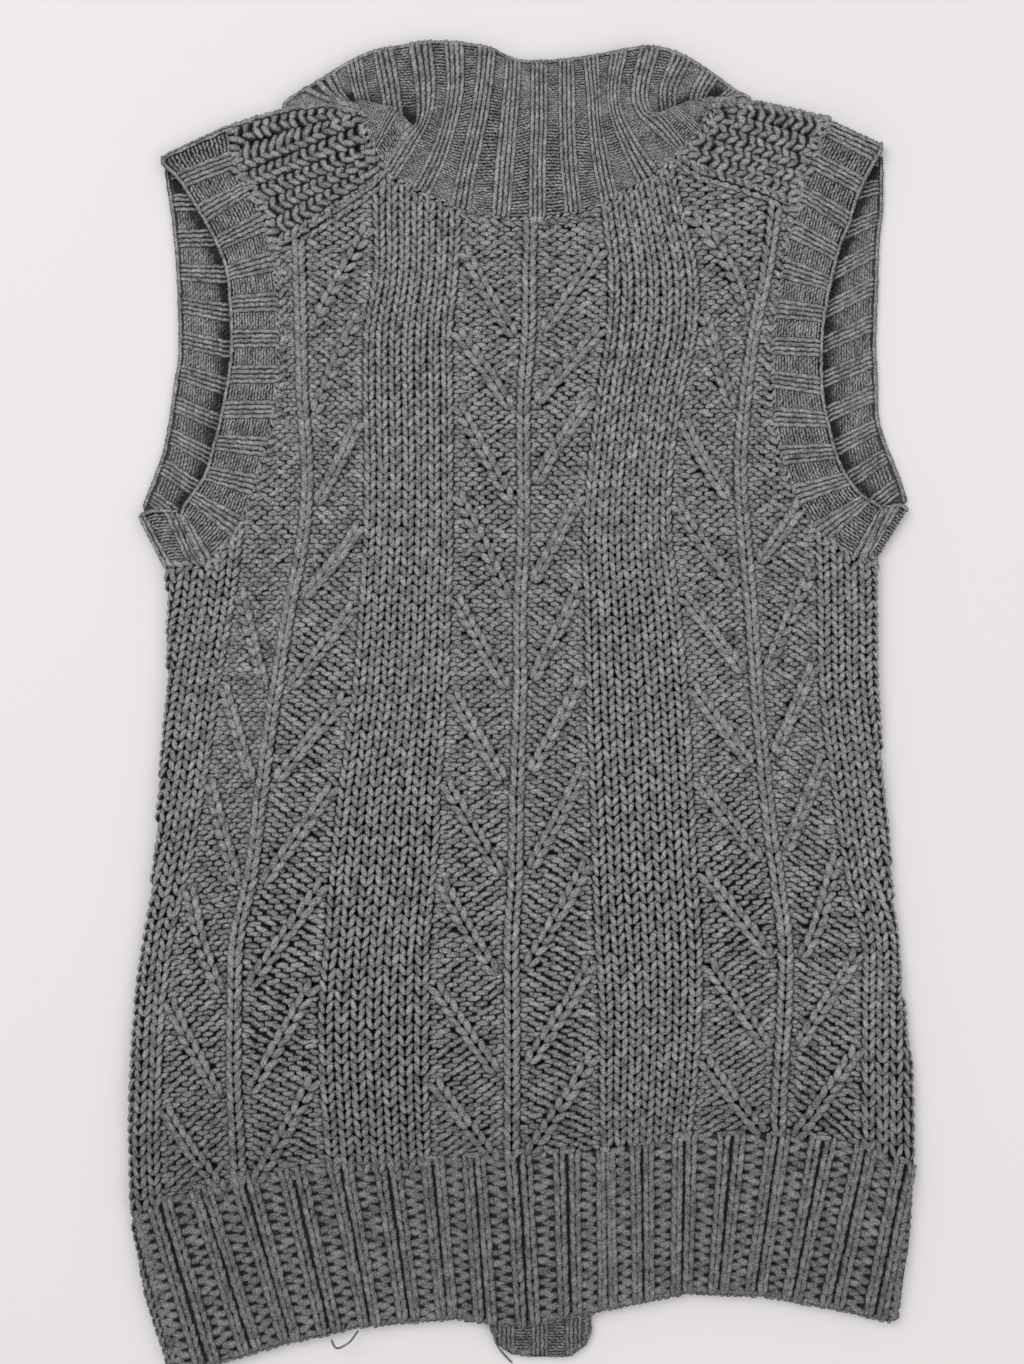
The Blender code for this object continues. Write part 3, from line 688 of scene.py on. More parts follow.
def tubes(points, normals, radius, sides=5, seed=0, shade=0.0, dim=None):
    """Closed strands: a ring of points round each path point but the two ends, which are their tips.

    points and normals are (strands, steps, 3) and radius (strands, steps), in millimetres. A ring is an
    ellipse across the path, STRAND_FLAT times as high as it is wide. Returns points, triangles and, for the
    material, each point's length along its strand, its share of painted shade (0 on top, 1 low on the sides,
    plus shade, plus dim of the points), which the material paints darker, and the strand's own random number.
    """
    count, steps = points.shape[:2]
    along = np.gradient(points, axis=1)
    along /= np.linalg.norm(along, axis=-1, keepdims=True) + 1e-9
    across = np.cross(along, normals)
    across /= np.linalg.norm(across, axis=-1, keepdims=True) + 1e-9
    up = np.cross(across, along)
    turn = np.linspace(0, 2 * np.pi, sides, endpoint=False) + np.pi / 2
    size = radius[:, 1:-1, None, None]
    raised = STRAND_FLAT * np.sin(turn)[:, None] * up[:, 1:-1, None]
    rings = points[:, 1:-1, None] + size * (np.cos(turn)[:, None] * across[:, 1:-1, None] + raised)
    each = 2 + (steps - 2) * sides
    solid = np.concatenate([points[:, :1], rings.reshape(count, -1, 3), points[:, -1:]], axis=1)
    ring = 1 + np.arange((steps - 2) * sides).reshape(steps - 2, sides)
    around = np.roll(ring, -1, axis=1)
    low, low_next, high, high_next = ring[:-1], around[:-1], ring[1:], around[1:]
    faces = [
        np.stack([low, low_next, high_next], -1).reshape(-1, 3),
        np.stack([low, high_next, high], -1).reshape(-1, 3),
        np.stack([np.zeros(sides, int), around[0], ring[0]], -1),
        np.stack([np.full(sides, each - 1), ring[-1], around[-1]], -1),
    ]
    faces = np.concatenate(faces)
    faces = (faces + each * np.arange(count)[:, None, None]).reshape(-1, 3)
    length = np.concatenate(
        [np.zeros((count, 1)), np.cumsum(np.linalg.norm(np.diff(points, axis=1), axis=-1), axis=1)], axis=1
    )
    strand = np.ones((count, each, 3))
    strand[:, 0, 0] = 0
    strand[:, 1:-1, 0] = np.repeat(length[:, 1:-1], sides, axis=1)
    strand[:, -1, 0] = length[:, -1]
    off_top = np.abs((turn - np.pi / 2 + np.pi) % (2 * np.pi) - np.pi)
    darker = shade + (dim(points[:, 1:-1])[..., None] if dim else 0.0)
    strand[:, 1:-1, 1].reshape(count, steps - 2, sides)[:] = np.clip(off_top / np.radians(80) + darker, 0, 1)
    strand[:, :, 2] = np.random.default_rng(seed).random(count)[:, None]
    return solid.reshape(-1, 3), faces, strand.reshape(-1, 3)


def join(parts):
    """Several (points, triangles, strand) sets as one."""
    offsets = np.cumsum([0] + [len(p[0]) for p in parts[:-1]])
    return (
        np.concatenate([p[0] for p in parts]),
        np.concatenate([p[1] + o for p, o in zip(parts, offsets)]),
        np.concatenate([p[2] for p in parts]),
    )


def grains(surface, u, v, shape):
    """Strands laid on a surface: the stitch's middle (u, v) plus the shape's du, dv and height at each step.

    shape is (du, dv, height, radius), each (strands, steps). A strand is kept if its middle is on the cloth,
    with room of 0.5 mm, and the rest goes no more than 1.6 mm past a seam.
    """
    du, dv, height, radius = shape
    place, normal, room = surface(u[:, None] + du, v[:, None] + dv)
    middle = (du.shape[1] - 1) // 2
    ok = (room[:, middle] > 0.5) & (room[:, 1:-1] > -1.6).all(axis=1)
    points = place + normal * height[..., None]
    for end, near in ((0, 1), (-1, -2)):
        step = points[:, end] - points[:, near]
        far = np.linalg.norm(step, axis=-1, keepdims=True) + 1e-9
        points[:, end] = points[:, near] + step * np.minimum(1, TIP / far)
    return points[ok], normal[ok], radius[ok]


def leg_shape(count, side, rng, width=7.9, row=5.4, radius=1.88, turn=0.0, spread=(0.3, 3.4), reach=1.38):
    """The two-legged V of a knit stitch, one leg of it: a rice grain from the wale's middle, up and outwards.

    In millimetres across it goes from spread[0] to spread[1], and up reach rows. It stands highest just under
    its middle; its foot starts between the legs of the row below and its head dives under the row above. turn
    is the V's lean in radians. Returned in stitches across, rows up, height and radius.
    """
    t = np.array([0.0, 0.16, 0.38, 0.64, 0.88, 1.0])
    rise = np.array([-1.3, -0.2, 0.6, 0.5, -0.7, -2.0])
    body = np.array([0.0, 0.64, 1.0, 1.0, 0.76, 0.0])
    length = row * reach * rng.normal(1, 0.05, (count, 1))
    lean = rng.normal(0, 0.045, (count, 1)) + turn
    x = side * (spread[0] + (spread[1] - spread[0]) * t) + rng.normal(0, 0.14, (count, 1))
    y = length * (t - 0.5) + rng.normal(0, 0.14, (count, 1))
    du = (x * np.cos(lean) - y * np.sin(lean)) / width
    dv = (x * np.sin(lean) + y * np.cos(lean)) / row
    height = rise + rng.normal(0, 0.13, (count, 1))
    return du, dv, height, radius * body * rng.normal(1, 0.06, (count, 1))


def vees(surface, u, v, rise, seed, shade=0.0, dim=None, **shape):
    """Both legs of knit stitches whose middles are at (u, v), raised by rise."""
    rng = np.random.default_rng(seed)
    parts = []
    for side in (-1, 1):
        du, dv, height, radius = leg_shape(len(u), side, rng, **shape)
        lift = np.broadcast_to(rise, len(u))[:, None]
        laid = grains(surface, u, v, (du, dv, height + lift, radius))
        parts.append(tubes(*laid, seed=seed + side + 1, shade=shade, dim=dim))
    return join(parts)


def beads(
    surface, u, v, rise, seed, length=6.5, radius=2.2, tilt=0.0, bow=0.35, width=8.0, row=5.4, full=0.8,
    scale=1.0, arch=1.3, swing=0.15, **finish,
):
    """Purl bumps: short grains lying across the cloth, bowed, turned by tilt radians and arched up.

    Their length, radius, bow and arch are in millimetres, and so are width and row, the size of a stitch.
    full is how thick they are near their ends, as a share of the middle: 0.6 makes lenses, 0.8 rods. scale is
    that of their height and unevenness, and swing the unevenness of tilt.
    """
    rng = np.random.default_rng(seed)
    count = len(u)
    inner = 0.24 + 0.18 * full
    t = np.array([-0.5, -inner, 0.0, inner, 0.5])
    size = np.reshape(length, (-1, 1)) * rng.normal(1, 0.08, (count, 1))
    angle = np.reshape(tilt, (-1, 1)) + rng.normal(0, swing, (count, 1))
    x = size * t
    y = np.reshape(bow, (-1, 1)) * (1 / 3 - 4 * t * t)
    du = (x * np.cos(angle) - y * np.sin(angle) + rng.normal(0, 0.25 * scale, (count, 1))) / width
    dv = (x * np.sin(angle) + y * np.cos(angle) + rng.normal(0, 0.22 * scale, (count, 1))) / row
    lift = np.broadcast_to(rise, count)[:, None]
    height = lift + scale * (0.6 - arch * 4 * t * t + rng.normal(0, 0.18, (count, 1)))
    body = np.array([0.0, full, 1.0, full, 0.0])
    thick = radius * body * rng.normal(1, 0.08, (count, 1))
    laid = grains(surface, u, np.broadcast_to(v, count), (du, dv, height, thick))
    return tubes(*laid, seed=seed, **finish)


def chain(line, spacing, z, seed, off=0.0, **bead):
    """Beads in single file along a line of plan points, off millimetres to its left, at height z.

    z is one height, or one for each point of the line.
    """
    line = np.asarray(line, float)
    length = np.concatenate([[0], np.cumsum(np.hypot(*np.diff(line, axis=0).T))])

    def surface(u, v):
        at, ahead, behind = (
            np.stack([np.interp(u + step, length, line[:, k]) for k in (0, 1)], -1) for step in (0, 1, -1)
        )
        way = (ahead - behind) / (np.linalg.norm(ahead - behind, axis=-1, keepdims=True) + 1e-9)
        plan = at + np.stack([-way[..., 1], way[..., 0]], -1) * (v + off)[..., None]
        high = np.interp(u, length, np.broadcast_to(z, length.shape))
        return np.concatenate([plan, high[..., None]], -1), upwards(u.shape), np.full(u.shape, AMPLE)

    u = np.arange(spacing / 2, length[-1], spacing)
    return beads(surface, u, 0.0, 0.0, seed, width=1.0, row=1.0, **bead)


def loose_end(places, seed):
    """A sewn-in end of yarn lying on the knit, through its places, a little thinner towards its tip."""
    places = np.array(places, float)
    along = running(places[:, None])
    t = np.linspace(0, along[-1], 16)
    path = smooth(t, along, places)[None]
    thick = 0.75 - 0.2 * (t / along[-1])[None]
    return tubes(path, upwards(path.shape[:2]), thick, seed=seed)


def add(tree, kind, inputs=(), **settings):
    """Adds a shader node with its settings; each input is a value or the socket that feeds it."""
    node = tree.nodes.new(kind)
    for name, value in settings.items():
        setattr(node, name, value)
    for key, value in dict(inputs).items():
        if isinstance(value, bpy.types.NodeSocket):
            tree.links.new(value, node.inputs[key])
        else:
            node.inputs[key].default_value = value
    return node


def yarn_material(name, groove_shade, dark, middle, light, stitch=None):
    """Heathered wool-mix yarn, softly spun and matte.

    Pale and dark fibres are spun together, so it shows as fine flecks; they are a millimetre wide and less,
    coarser than the fibres, so that they show. Each stitch also has its own shade, and loose fibres give a
    dull sheen at grazing angles. Shade is painted where strands lie against each other: the colour darkens
    low on their sides. The colour is also darker towards the hem.
    Given a stitch's width and height in metres, a face turned down shows rows of plain knit of that size,
    with shade painted between its legs.
    """
    material = bpy.data.materials.new(name)
    material.use_nodes = True
    tree = material.node_tree
    shader = tree.nodes["Principled BSDF"]
    place = add(tree, "ShaderNodeTexCoord").outputs["Object"]
    strand = add(tree, "ShaderNodeAttribute", attribute_name="strand").outputs["Vector"]
    split = add(tree, "ShaderNodeSeparateXYZ", {0: strand})
    fleck = add(tree, "ShaderNodeTexNoise", {"Vector": place, "Scale": 1000.0, "Detail": 2.0})
    fleck.inputs["Roughness"].default_value = 0.75
    cloud = add(tree, "ShaderNodeTexNoise", {"Vector": place, "Scale": 160.0, "Detail": 2.0})
    shade = add(tree, MATH, {0: split.outputs["Z"], 1: 0.14, 2: -0.07}, operation="MULTIPLY_ADD")
    base = add(tree, MATH, {0: cloud.outputs["Fac"], 1: 0.6, 2: -0.6}, operation="MULTIPLY_ADD")
    mixed = add(tree, MATH, {0: fleck.outputs["Fac"], 1: 1.6, 2: base.outputs[0]}, operation="MULTIPLY_ADD")
    tone = add(tree, MATH, {0: mixed.outputs[0], 1: shade.outputs[0]}, operation="ADD")
    # Painted shade: low on each strand's sides the colour darkens towards the painted shade colour
    low = add(tree, "ShaderNodeMapRange", {0: split.outputs["Y"], 1: 0.5, 2: 1.0})
    low.interpolation_type = "SMOOTHSTEP"
    tone = add(tree, MATH, {0: low.outputs[0], 1: -0.62, 2: tone.outputs[0]}, operation="MULTIPLY_ADD")
    ramp = add(tree, "ShaderNodeValToRGB", {"Fac": tone.outputs[0]})
    stops = ramp.color_ramp.elements
    stops[0].position, stops[0].color = 0.2, dark
    stops[1].position, stops[1].color = 0.88, light
    centre = stops.new(0.5)
    centre.color = middle
    deepest = stops.new(0.0)
    deepest.color = groove_shade
    fine = add(tree, "ShaderNodeBump", {"Height": fleck.outputs["Fac"], "Strength": 0.55, "Distance": 0.0006})
    height = add(tree, "ShaderNodeSeparateXYZ", {0: place})
    # The colour is darker towards the hem
    darker_to_hem = add(tree, "ShaderNodeMapRange", {0: height.outputs["Y"], 1: -0.31, 2: -0.15, 3: 0.66, 4: 1.0})
    darker_to_hem.interpolation_type = "SMOOTHSTEP"
    scaled = {0: ramp.outputs["Color"], "Scale": darker_to_hem.outputs[0]}
    color = add(tree, "ShaderNodeVectorMath", scaled, operation="SCALE")
    if stitch:
        facing = add(tree, "ShaderNodeSeparateXYZ", {0: add(tree, "ShaderNodeNewGeometry").outputs["Normal"]})
        down = add(tree, MATH, {0: facing.outputs["Z"], 1: -0.4}, operation="LESS_THAN")
        across = add(tree, MATH, {0: height.outputs["X"], 1: stitch[0] / 2}, operation="PINGPONG")
        leaning = {0: across.outputs[0], 1: 0.9, 2: height.outputs["Y"]}
        lean = add(tree, MATH, leaning, operation="MULTIPLY_ADD")
        turns = [
            add(tree, MATH, {0: value, 1: 2 * np.pi / length}, operation="MULTIPLY").outputs[0]
            for value, length in ((lean.outputs[0], stitch[1]), (height.outputs["X"], stitch[0] / 2))
        ]
        rows, wales = (add(tree, MATH, {0: turn}, operation="COSINE").outputs[0] for turn in turns)
        legs = add(tree, MATH, {0: wales, 1: -0.7, 2: rows}, operation="MULTIPLY_ADD").outputs[0]
        share = add(tree, "ShaderNodeMapRange", {0: legs, 1: -1.5, 2: 0.6}).outputs[0]
        # Painted shade: the face-down knit's low parts between the legs are painted darker
        knit = {0: share, 6: linear("#3A3B3A"), 7: linear("#868887")}
        plain = add(tree, "ShaderNodeMix", knit, data_type="RGBA")
        both = {0: down.outputs[0], 6: color.outputs[0], 7: plain.outputs[2]}
        color = add(tree, "ShaderNodeMix", both, data_type="RGBA")
        raised = {"Height": share, "Distance": 0.0012, "Normal": fine.outputs["Normal"]}
        fine = add(tree, "ShaderNodeBump", raised)
        tree.links.new(down.outputs[0], fine.inputs["Strength"])
    tree.links.new(color.outputs[2 if stitch else 0], shader.inputs["Base Color"])
    tree.links.new(fine.outputs["Normal"], shader.inputs["Normal"])
    shader.inputs["Roughness"].default_value = 0.95
    shader.inputs["Specular IOR Level"].default_value = 0.2
    shader.inputs["Sheen Weight"].default_value = 0.12
    shader.inputs["Sheen Roughness"].default_value = 0.6
    return material


def shell(outer, inner):
    """A closed wall facing outwards, from two grids of points (rows, columns, 3): both faces and the rim."""
    rows, columns = outer.shape[:2]
    index = np.arange(rows * columns).reshape(rows, columns)
    far = index + rows * columns

    def quads(a, b, c, d):
        a, b, c, d = (k.ravel() for k in (a, b, c, d))
        return np.concatenate([np.stack([a, b, c], -1), np.stack([a, c, d], -1)])

    faces = np.concatenate(
        [
            quads(index[:-1, :-1], index[:-1, 1:], index[1:, 1:], index[1:, :-1]),
            quads(far[:-1, :-1], far[1:, :-1], far[1:, 1:], far[:-1, 1:]),
            quads(far[0, :-1], far[0, 1:], index[0, 1:], index[0, :-1]),
            quads(index[-1, :-1], index[-1, 1:], far[-1, 1:], far[-1, :-1]),
            quads(index[:-1, 0], index[1:, 0], far[1:, 0], far[:-1, 0]),
            quads(far[:-1, -1], far[1:, -1], index[1:, -1], index[:-1, -1]),
        ]
    )
    points = np.concatenate([outer.reshape(-1, 3), inner.reshape(-1, 3)])
    volume = np.sum(points[faces[:, 0]] * np.cross(points[faces[:, 1]], points[faces[:, 2]]))
    return points, faces if volume > 0 else faces[:, ::-1]


def at_height(plan, z):
    """Plan points (rows, columns, 2) with their height."""
    return np.dstack([plan, np.broadcast_to(z, plan.shape[:2])])


def colour(name, description, hex_color):
    """A colour property."""
    default = linear(hex_color)
    return bpy.props.FloatVectorProperty(
        name=name, description=description, subtype="COLOR", size=4, min=0, max=1, default=default
    )


def number(name, description, default, unit="LENGTH"):
    """A property that is a number, in metres if unit doesn't say otherwise."""
    return bpy.props.FloatProperty(
        name=name, description=description, default=default, unit=unit, precision=5
    )


class KnitSettings(bpy.types.PropertyGroup):
    """Yarn of the vest."""

    yarn_dark: colour("Dark fibre", "Darkest fibres of the heather", "#4E5150")
    yarn_middle: colour("Yarn", "Main colour of the yarn", "#868887")
    yarn_light: colour("Light fibre", "Palest fibres of the heather", "#BEBFBC")
    # Painted shade on the strands' low sides, where they lie against each other
    groove_shade: colour("Groove", "Painted shade where two strands lie against each other", "#1C1D1C")
    # Painted shade: the cloth seen deep between the chunky stitches
    gap: colour("Between stitches", "Painted shade deep in the chunky knit", "#181918")
    # Painted shade: the cloth seen in the ribs' valleys
    valley_shade: colour("Rib valley", "Painted shade in the valleys of the ribs", "#4A4C4B")
    strand: number("Chunky strand", "Radius of the chunky yarn's strands, at the middle of a stitch", 0.00188)


class StageSettings(bpy.types.PropertyGroup):
    """Floor, light and camera."""

    floor: number("Floor", "Width of the pale floor", 8.0)
    paper: colour("Paper", "Colour of the floor", "#EAE7E6")
    key: number("Key light", "Power of the key softbox", 26.0, "POWER")
    fill: number("Fill light", "Power of the fill softbox", 14.0, "POWER")
    sky: number("Room light", "Strength of the even light of the room", 0.55, "NONE")
    eye: number("Camera height", "How high the camera hangs over the floor", 1.209)


def yarns():
    """The yarn's finishes, made once: the strands, and the cloth behind them and behind the ribs, painted
    dark as shade.
    """
    knit = bpy.context.scene.vest_knit
    names = ("heathered chunky yarn", "painted shade deep in the knit", "painted shade in the rib's valleys")
    if names[0] not in bpy.data.materials:
        yarn_material(names[0], knit.groove_shade, knit.yarn_dark, knit.yarn_middle, knit.yarn_light)
        # Painted shade: the cloths behind the stitches are coloured darker than the yarn, darkest deep in the
        # chunky knit
        black, dark = linear("#0E0F0E"), linear("#2A2B2A")
        yarn_material(names[1], black, black, knit.gap, linear("#242524"), (0.008, 0.0054))
        yarn_material(names[2], dark, dark, knit.valley_shade, linear("#6A6B6A"), (0.0037, 0.0034))
    return [bpy.data.materials[name] for name in names]


class VEST_OT_back(bpy.types.Operator):
    """Knit the back: its shell, side stockinette, bands, stems, purl fields and branches."""

    bl_idname = "vest.back"
    bl_label = "Back"

    def execute(self, context):
        face, deep, _ = yarns()
        v = np.arange(0, ROW_LINES[-1][0])
        u, r = stitches(np.r_[-4:5, 52:62] + 0.5, v)
        r = r + 0.22 * wander(u * 3.1, r, 5, (3, 30))
        strand = context.scene.vest_knit.strand / MM
        knit_piece("back_side_knit", [vees(body_surface, u, r, relief(u), 11, radius=strand)], face)

        # Painted shade on the bands' strands, more of it towards the neck
        def neck_shade(points):
            return 0.17 * np.clip((points[..., 1] - 110) / 90, 0, 1)

        for name, (low, high) in zip(("left", "right"), KNIT_BANDS):
            u, r = stitches(np.arange(low, high) + 0.5, v)
            r = r + 0.25 * wander(u * 3.1, r, 6, (3, 30))
            slim = np.clip((r[:, None] - 68) / 16, 0, 1)
            leg = {"reach": 1.38 + 0.24 * slim, "radius": strand + 0.06 * slim, "dim": neck_shade}
            leg["spread"] = 0.3 + 0.1 * slim, 3.4 - 0.15 * slim
            knit_piece(f"back_band_{name}", [vees(body_surface, u, r, relief(u), 12, **leg)], face)
        for name, stem, branches in zip(("left", "centre", "right"), STEMS, BRANCHES):
            u = np.full(len(v), stem)
            leg = {"radius": 1.95, "spread": (0.5, 3.6), "reach": 1.55, "shade": -0.08}
            knit_piece(f"back_stem_{name}", [vees(body_surface, u, v.astype(float), 1.2, 13, **leg)], face)
            self.field(name, stem, branches, v, face)
        self.ground(deep)
        top = TOP_EDGE[4:13]
        left, right = ([row[k : k + 2] for row in BACK_HOLES] for k in (0, 4))
        link = {"length": 5.2, "radius": 1.25, "full": 0.7, "arch": 1.2}
        wide = {"length": 7.4, "radius": 2.0, "full": 0.7, "arch": 1.6}
        seams = [
            chain(line, spacing, z, 61 + n, off=off, tilt=tilt, **kind)
            for n, (line, spacing, z, off, tilt, kind) in enumerate(
                (
                    (left, 4.4, 10.0, -1.0, 0.5, link),
                    (right, 4.4, 10.0, 1.0, -0.5, link),
                    (left, 5.4, 9.3, -3.4, -0.9, wide),
                    (right, 5.4, 9.3, 3.4, 0.9, wide),
                    (top, 5.0, 10.3, -1.2, 0.3, link),
                    (top, 6.4, 9.6, -3.6, -0.25, wide),
                    (YOKE_FEET[0], 6.2, 9.8, -1.6, 0.2, wide),
                    (YOKE_FEET[1], 6.2, 9.8, -1.6, -0.2, wide),
                )
            )
        ]
        knit_piece("back_seams", seams, face)
        return {"FINISHED"}

    def field(self, name, stem, branches, v, face):
        """Purl bumps in two brick-laid lines a row, and the branches: V chains from the stem out and up."""
        lines = (
            # row shift, bow, seed, places from the stem, length of each
            (0.25, 0.7, 21, (1, 2, 3, 4, 5), (7.4,) * 5),
            (-0.25, -0.6, 22, (0.72, 1.5, 2.5, 3.5, 4.5, 5.28), (4.6, 7.4, 7.4, 7.4, 7.4, 4.6)),
        )
        parts, chains = [], []
        t = np.linspace(0.0, 1.0, 9)
        sides = []
        for side, (starts, ends) in zip((-1, 1), branches):
            starts, ends = np.array(starts)[:, None], np.array(ends)[:, None]
            across = stem + side * (1.3 + (4.95 - 1.3) * t) + 0 * starts
            sides.append(np.stack([across, starts + (ends - starts) * t - 0.2], -1).reshape(-1, 2))
        flat = np.concatenate(sides)
        for shift_v, bow, seed, places, sizes in lines:
            u, r = stitches(np.r_[np.negative(places), places], v)
            size = np.tile(sizes * 2, len(v))
            away = np.sign(u)
            near = np.abs(stem + u[:, None] - flat[None, :, 0]) * 8
            near = np.hypot(near, (r[:, None] + shift_v - flat[None, :, 1]) * 5.4).min(axis=1)
            u, r, away, size = u[near > 3.4], r[near > 3.4], away[near > 3.4], size[near > 3.4]
            tilt = -away * np.radians(np.interp(r, (0, 30, 80), (14, 9, 2)))
            bump = {"length": size, "bow": bow, "tilt": tilt, "full": 0.82, "arch": 1.5, "shade": 0.1}
            parts.append(beads(body_surface, stem + u, r + shift_v, relief(stem + u) - 0.2, seed, **bump))
        knit_piece(f"back_purl_{name}", parts, face)
        for side, at in zip((-1, 1), sides):
            leg = {"radius": 2.25, "spread": (0.7, 3.4), "turn": -side * np.radians(33), "reach": 1.6}
            chains.append(vees(body_surface, at[:, 0], at[:, 1], 1.7, 31 + side, shade=-0.1, **leg))
        knit_piece(f"back_branches_{name}", chains, face)

    def ground(self, deep):
        """The shell behind the stitches, over the whole back and its hem, in the dark colour painted as shade
        deep in the knit.
        """
        ends = np.array([*SIDE_ROWS, *(row[:2] + row[4:6] for row in BACK_HOLES)], float).reshape(-1, 2, 1, 2)
        share = np.linspace(0, 1, 60)
        plan = ends[:, 0] + share[:, None] * (ends[:, 1] - ends[:, 0])
        top = np.array(TOP_EDGE, float)
        xs = top[0, 0] + share * (top[-1, 0] - top[0, 0])
        plan[-1] = np.stack([xs, np.interp(xs, top[:, 0], top[:, 1])], -1)
        hem = np.array(HEM_LINES, float)
        for row, follow, rise in ((0, 1.0, 1.5), (1, 0.55, 0.0)):
            xs = plan[row, :, 0]
            lift = np.interp(xs, hem[:, 2], hem[:, 3]) - np.interp(xs, hem[[0, -1], 2], hem[[0, -1], 3])
            plan[row, :, 1] = plan[row, :, 1] + lift * follow + rise
        plan[8:10, :, 0] += np.array([[0.5], [3.0]]) * np.interp(share, (0, 0.1, 0.9, 1), (1, 0, 0, -1))
        rim = np.minimum(share, 1 - share)[None, :] * np.ptp(plan[:, :, 0], axis=1)[:, None]
        fall = 1 - np.sqrt(1 - (1 - np.clip(rim / ROLL, 0, 1)) ** 2)
        fall = fall * (np.arange(len(plan)) < len(SIDE_ROWS))[:, None]
        outer = at_height(plan, BACK_TOP - 4.1 - 0.6 * fall)
        points, faces = shell(outer, at_height(plan, BACK_LOW - 0.6))
        mesh_piece("back_ground", points, faces, deep, node="back_panel")


def in_shade(line, reach, depth, below=99.0):
    """A dim for tubes(): depth on a line of plan points, fading over reach, for points lower than below."""
    line = np.asarray(line, float)

    def dim(points):
        nearest = np.full(points.shape[:-1], 1e9)
        for start, end in zip(line[:-1], line[1:]):
            way = end - start
            t = np.clip(((points[..., :2] - start) @ way) / (way @ way), 0, 1)
            off = points[..., :2] - start - t[..., None] * way
            nearest = np.minimum(nearest, np.linalg.norm(off, axis=-1))
        return depth * np.exp(-((nearest / reach) ** 2)) * (points[..., 2] < below)

    return dim


def fine_rib(surface, groups, rows, seed, rise=0.0, sink=(0.7, 0.7), edge=None, shade=0.0, dim=None):
    """Fine rib, six stitches to a repeat: three knit wales about each multiple of six, purl rungs between.

    The legs of neighbouring wales meet in one ridge, so three wales show as four ridges with dark lines at
    the V's middles, each as thick as its neighbours leave room for. The rungs are two brick-laid lines of
    small bumps a row, sunk by sink millimetres at the first and the last row. edge is the row of the
    bound-off edge, if there is one.
    """
    rows = np.arange(*rows, dtype=float)
    groups = np.asarray(groups, float) * 6
    rng = np.random.default_rng(seed)
    u, v = stitches(groups[:, None] + (-1.13, -0.38, 0.38, 1.13), rows)
    t = np.array([-0.5, -0.25, 0.02, 0.28, 0.5])
    lean = np.where(np.round(v) % 2 == 0, 0.13, -0.13)[:, None] + rng.normal(0, 0.05, (len(u), 1))
    x = 6.6 * t * np.sin(lean) + rng.normal(0, 0.08, (len(u), 1))
    y = 6.6 * t * np.cos(lean) + rng.normal(0, 0.15, (len(u), 1))
    height = rise + np.array([-0.9, 0.05, 0.3, 0.0, -0.9]) + rng.normal(0, 0.06, (len(u), 1))
    apart = np.linalg.norm(surface(u + 0.375, v)[0] - surface(u - 0.375, v)[0], axis=-1, keepdims=True)
    thick = np.clip(0.52 * apart, 0.8, 2.3) * np.array([0, 0.9, 1, 0.9, 0]) * rng.normal(1, 0.05, (len(u), 1))
    laid = grains(surface, u, v, (x / RIB_KNIT, y / RIB_ROW, height, thick))
    # Painted shade: less of it on the ridges' strands, more on the purl rungs
    parts = [tubes(*laid, sides=4, seed=seed, shade=shade - 0.22, dim=dim)]
    for shift, bow, places, length in (
        (0.25, 0.3, (2, 3, 4), (3.6,) * 3),
        (-0.25, -0.3, (1.68, 2.5, 3.5, 4.32), (2.2, 3.6, 3.6, 2.2)),
    ):
        u, v = stitches(groups[:, None] + places, rows + shift)
        size = np.tile(length, len(groups) * len(rows))
        low = -np.interp(v, (rows[0], rows[-1]), sink)
        bump = {"width": RIB_PURL, "row": RIB_ROW, "length": size, "radius": 1.15, "bow": bow, "full": 0.75}
        bump |= {"sides": 4, "scale": 0.4, "shade": shade + 0.34, "dim": dim}
        parts.append(beads(surface, u, v, rise + low, seed + 5, **bump))
    if edge is not None:
        u = np.arange(groups[0] - 3, groups[-1] + 3, 0.62)
        for shift, drop in ((0.0, -0.3), (0.12, -1.5)):
            bound = {"length": 3.3, "radius": 1.2, "width": RIB_PURL, "row": RIB_ROW, "scale": 0.5}
            row = edge + shift
            parts.append(beads(surface, u + 2 * shift, row, rise + drop, seed + 9, dim=dim, **bound))
    return join(parts)


def rib_wave(along):
    """The wave of a fine rib's cloth: 0 on its knit wales, falling to -1 in the purl valleys between them."""
    off = np.abs(along - np.round(along))
    return -0.5 + 0.5 * np.cos(np.pi * np.clip((off - 0.24) / 0.1, 0, 1))


def gathered(group, off, grip):
    """Where a stitch, off places from its rib group's middle, lies, in repeats: knit ones are grip wide."""
    fan = np.abs(off)
    fan = np.where(fan < 1.5, fan * grip, 1.5 * grip + (fan - 1.5) / 1.5 * (0.5 - 1.5 * grip))
    return group + np.sign(off) * fan


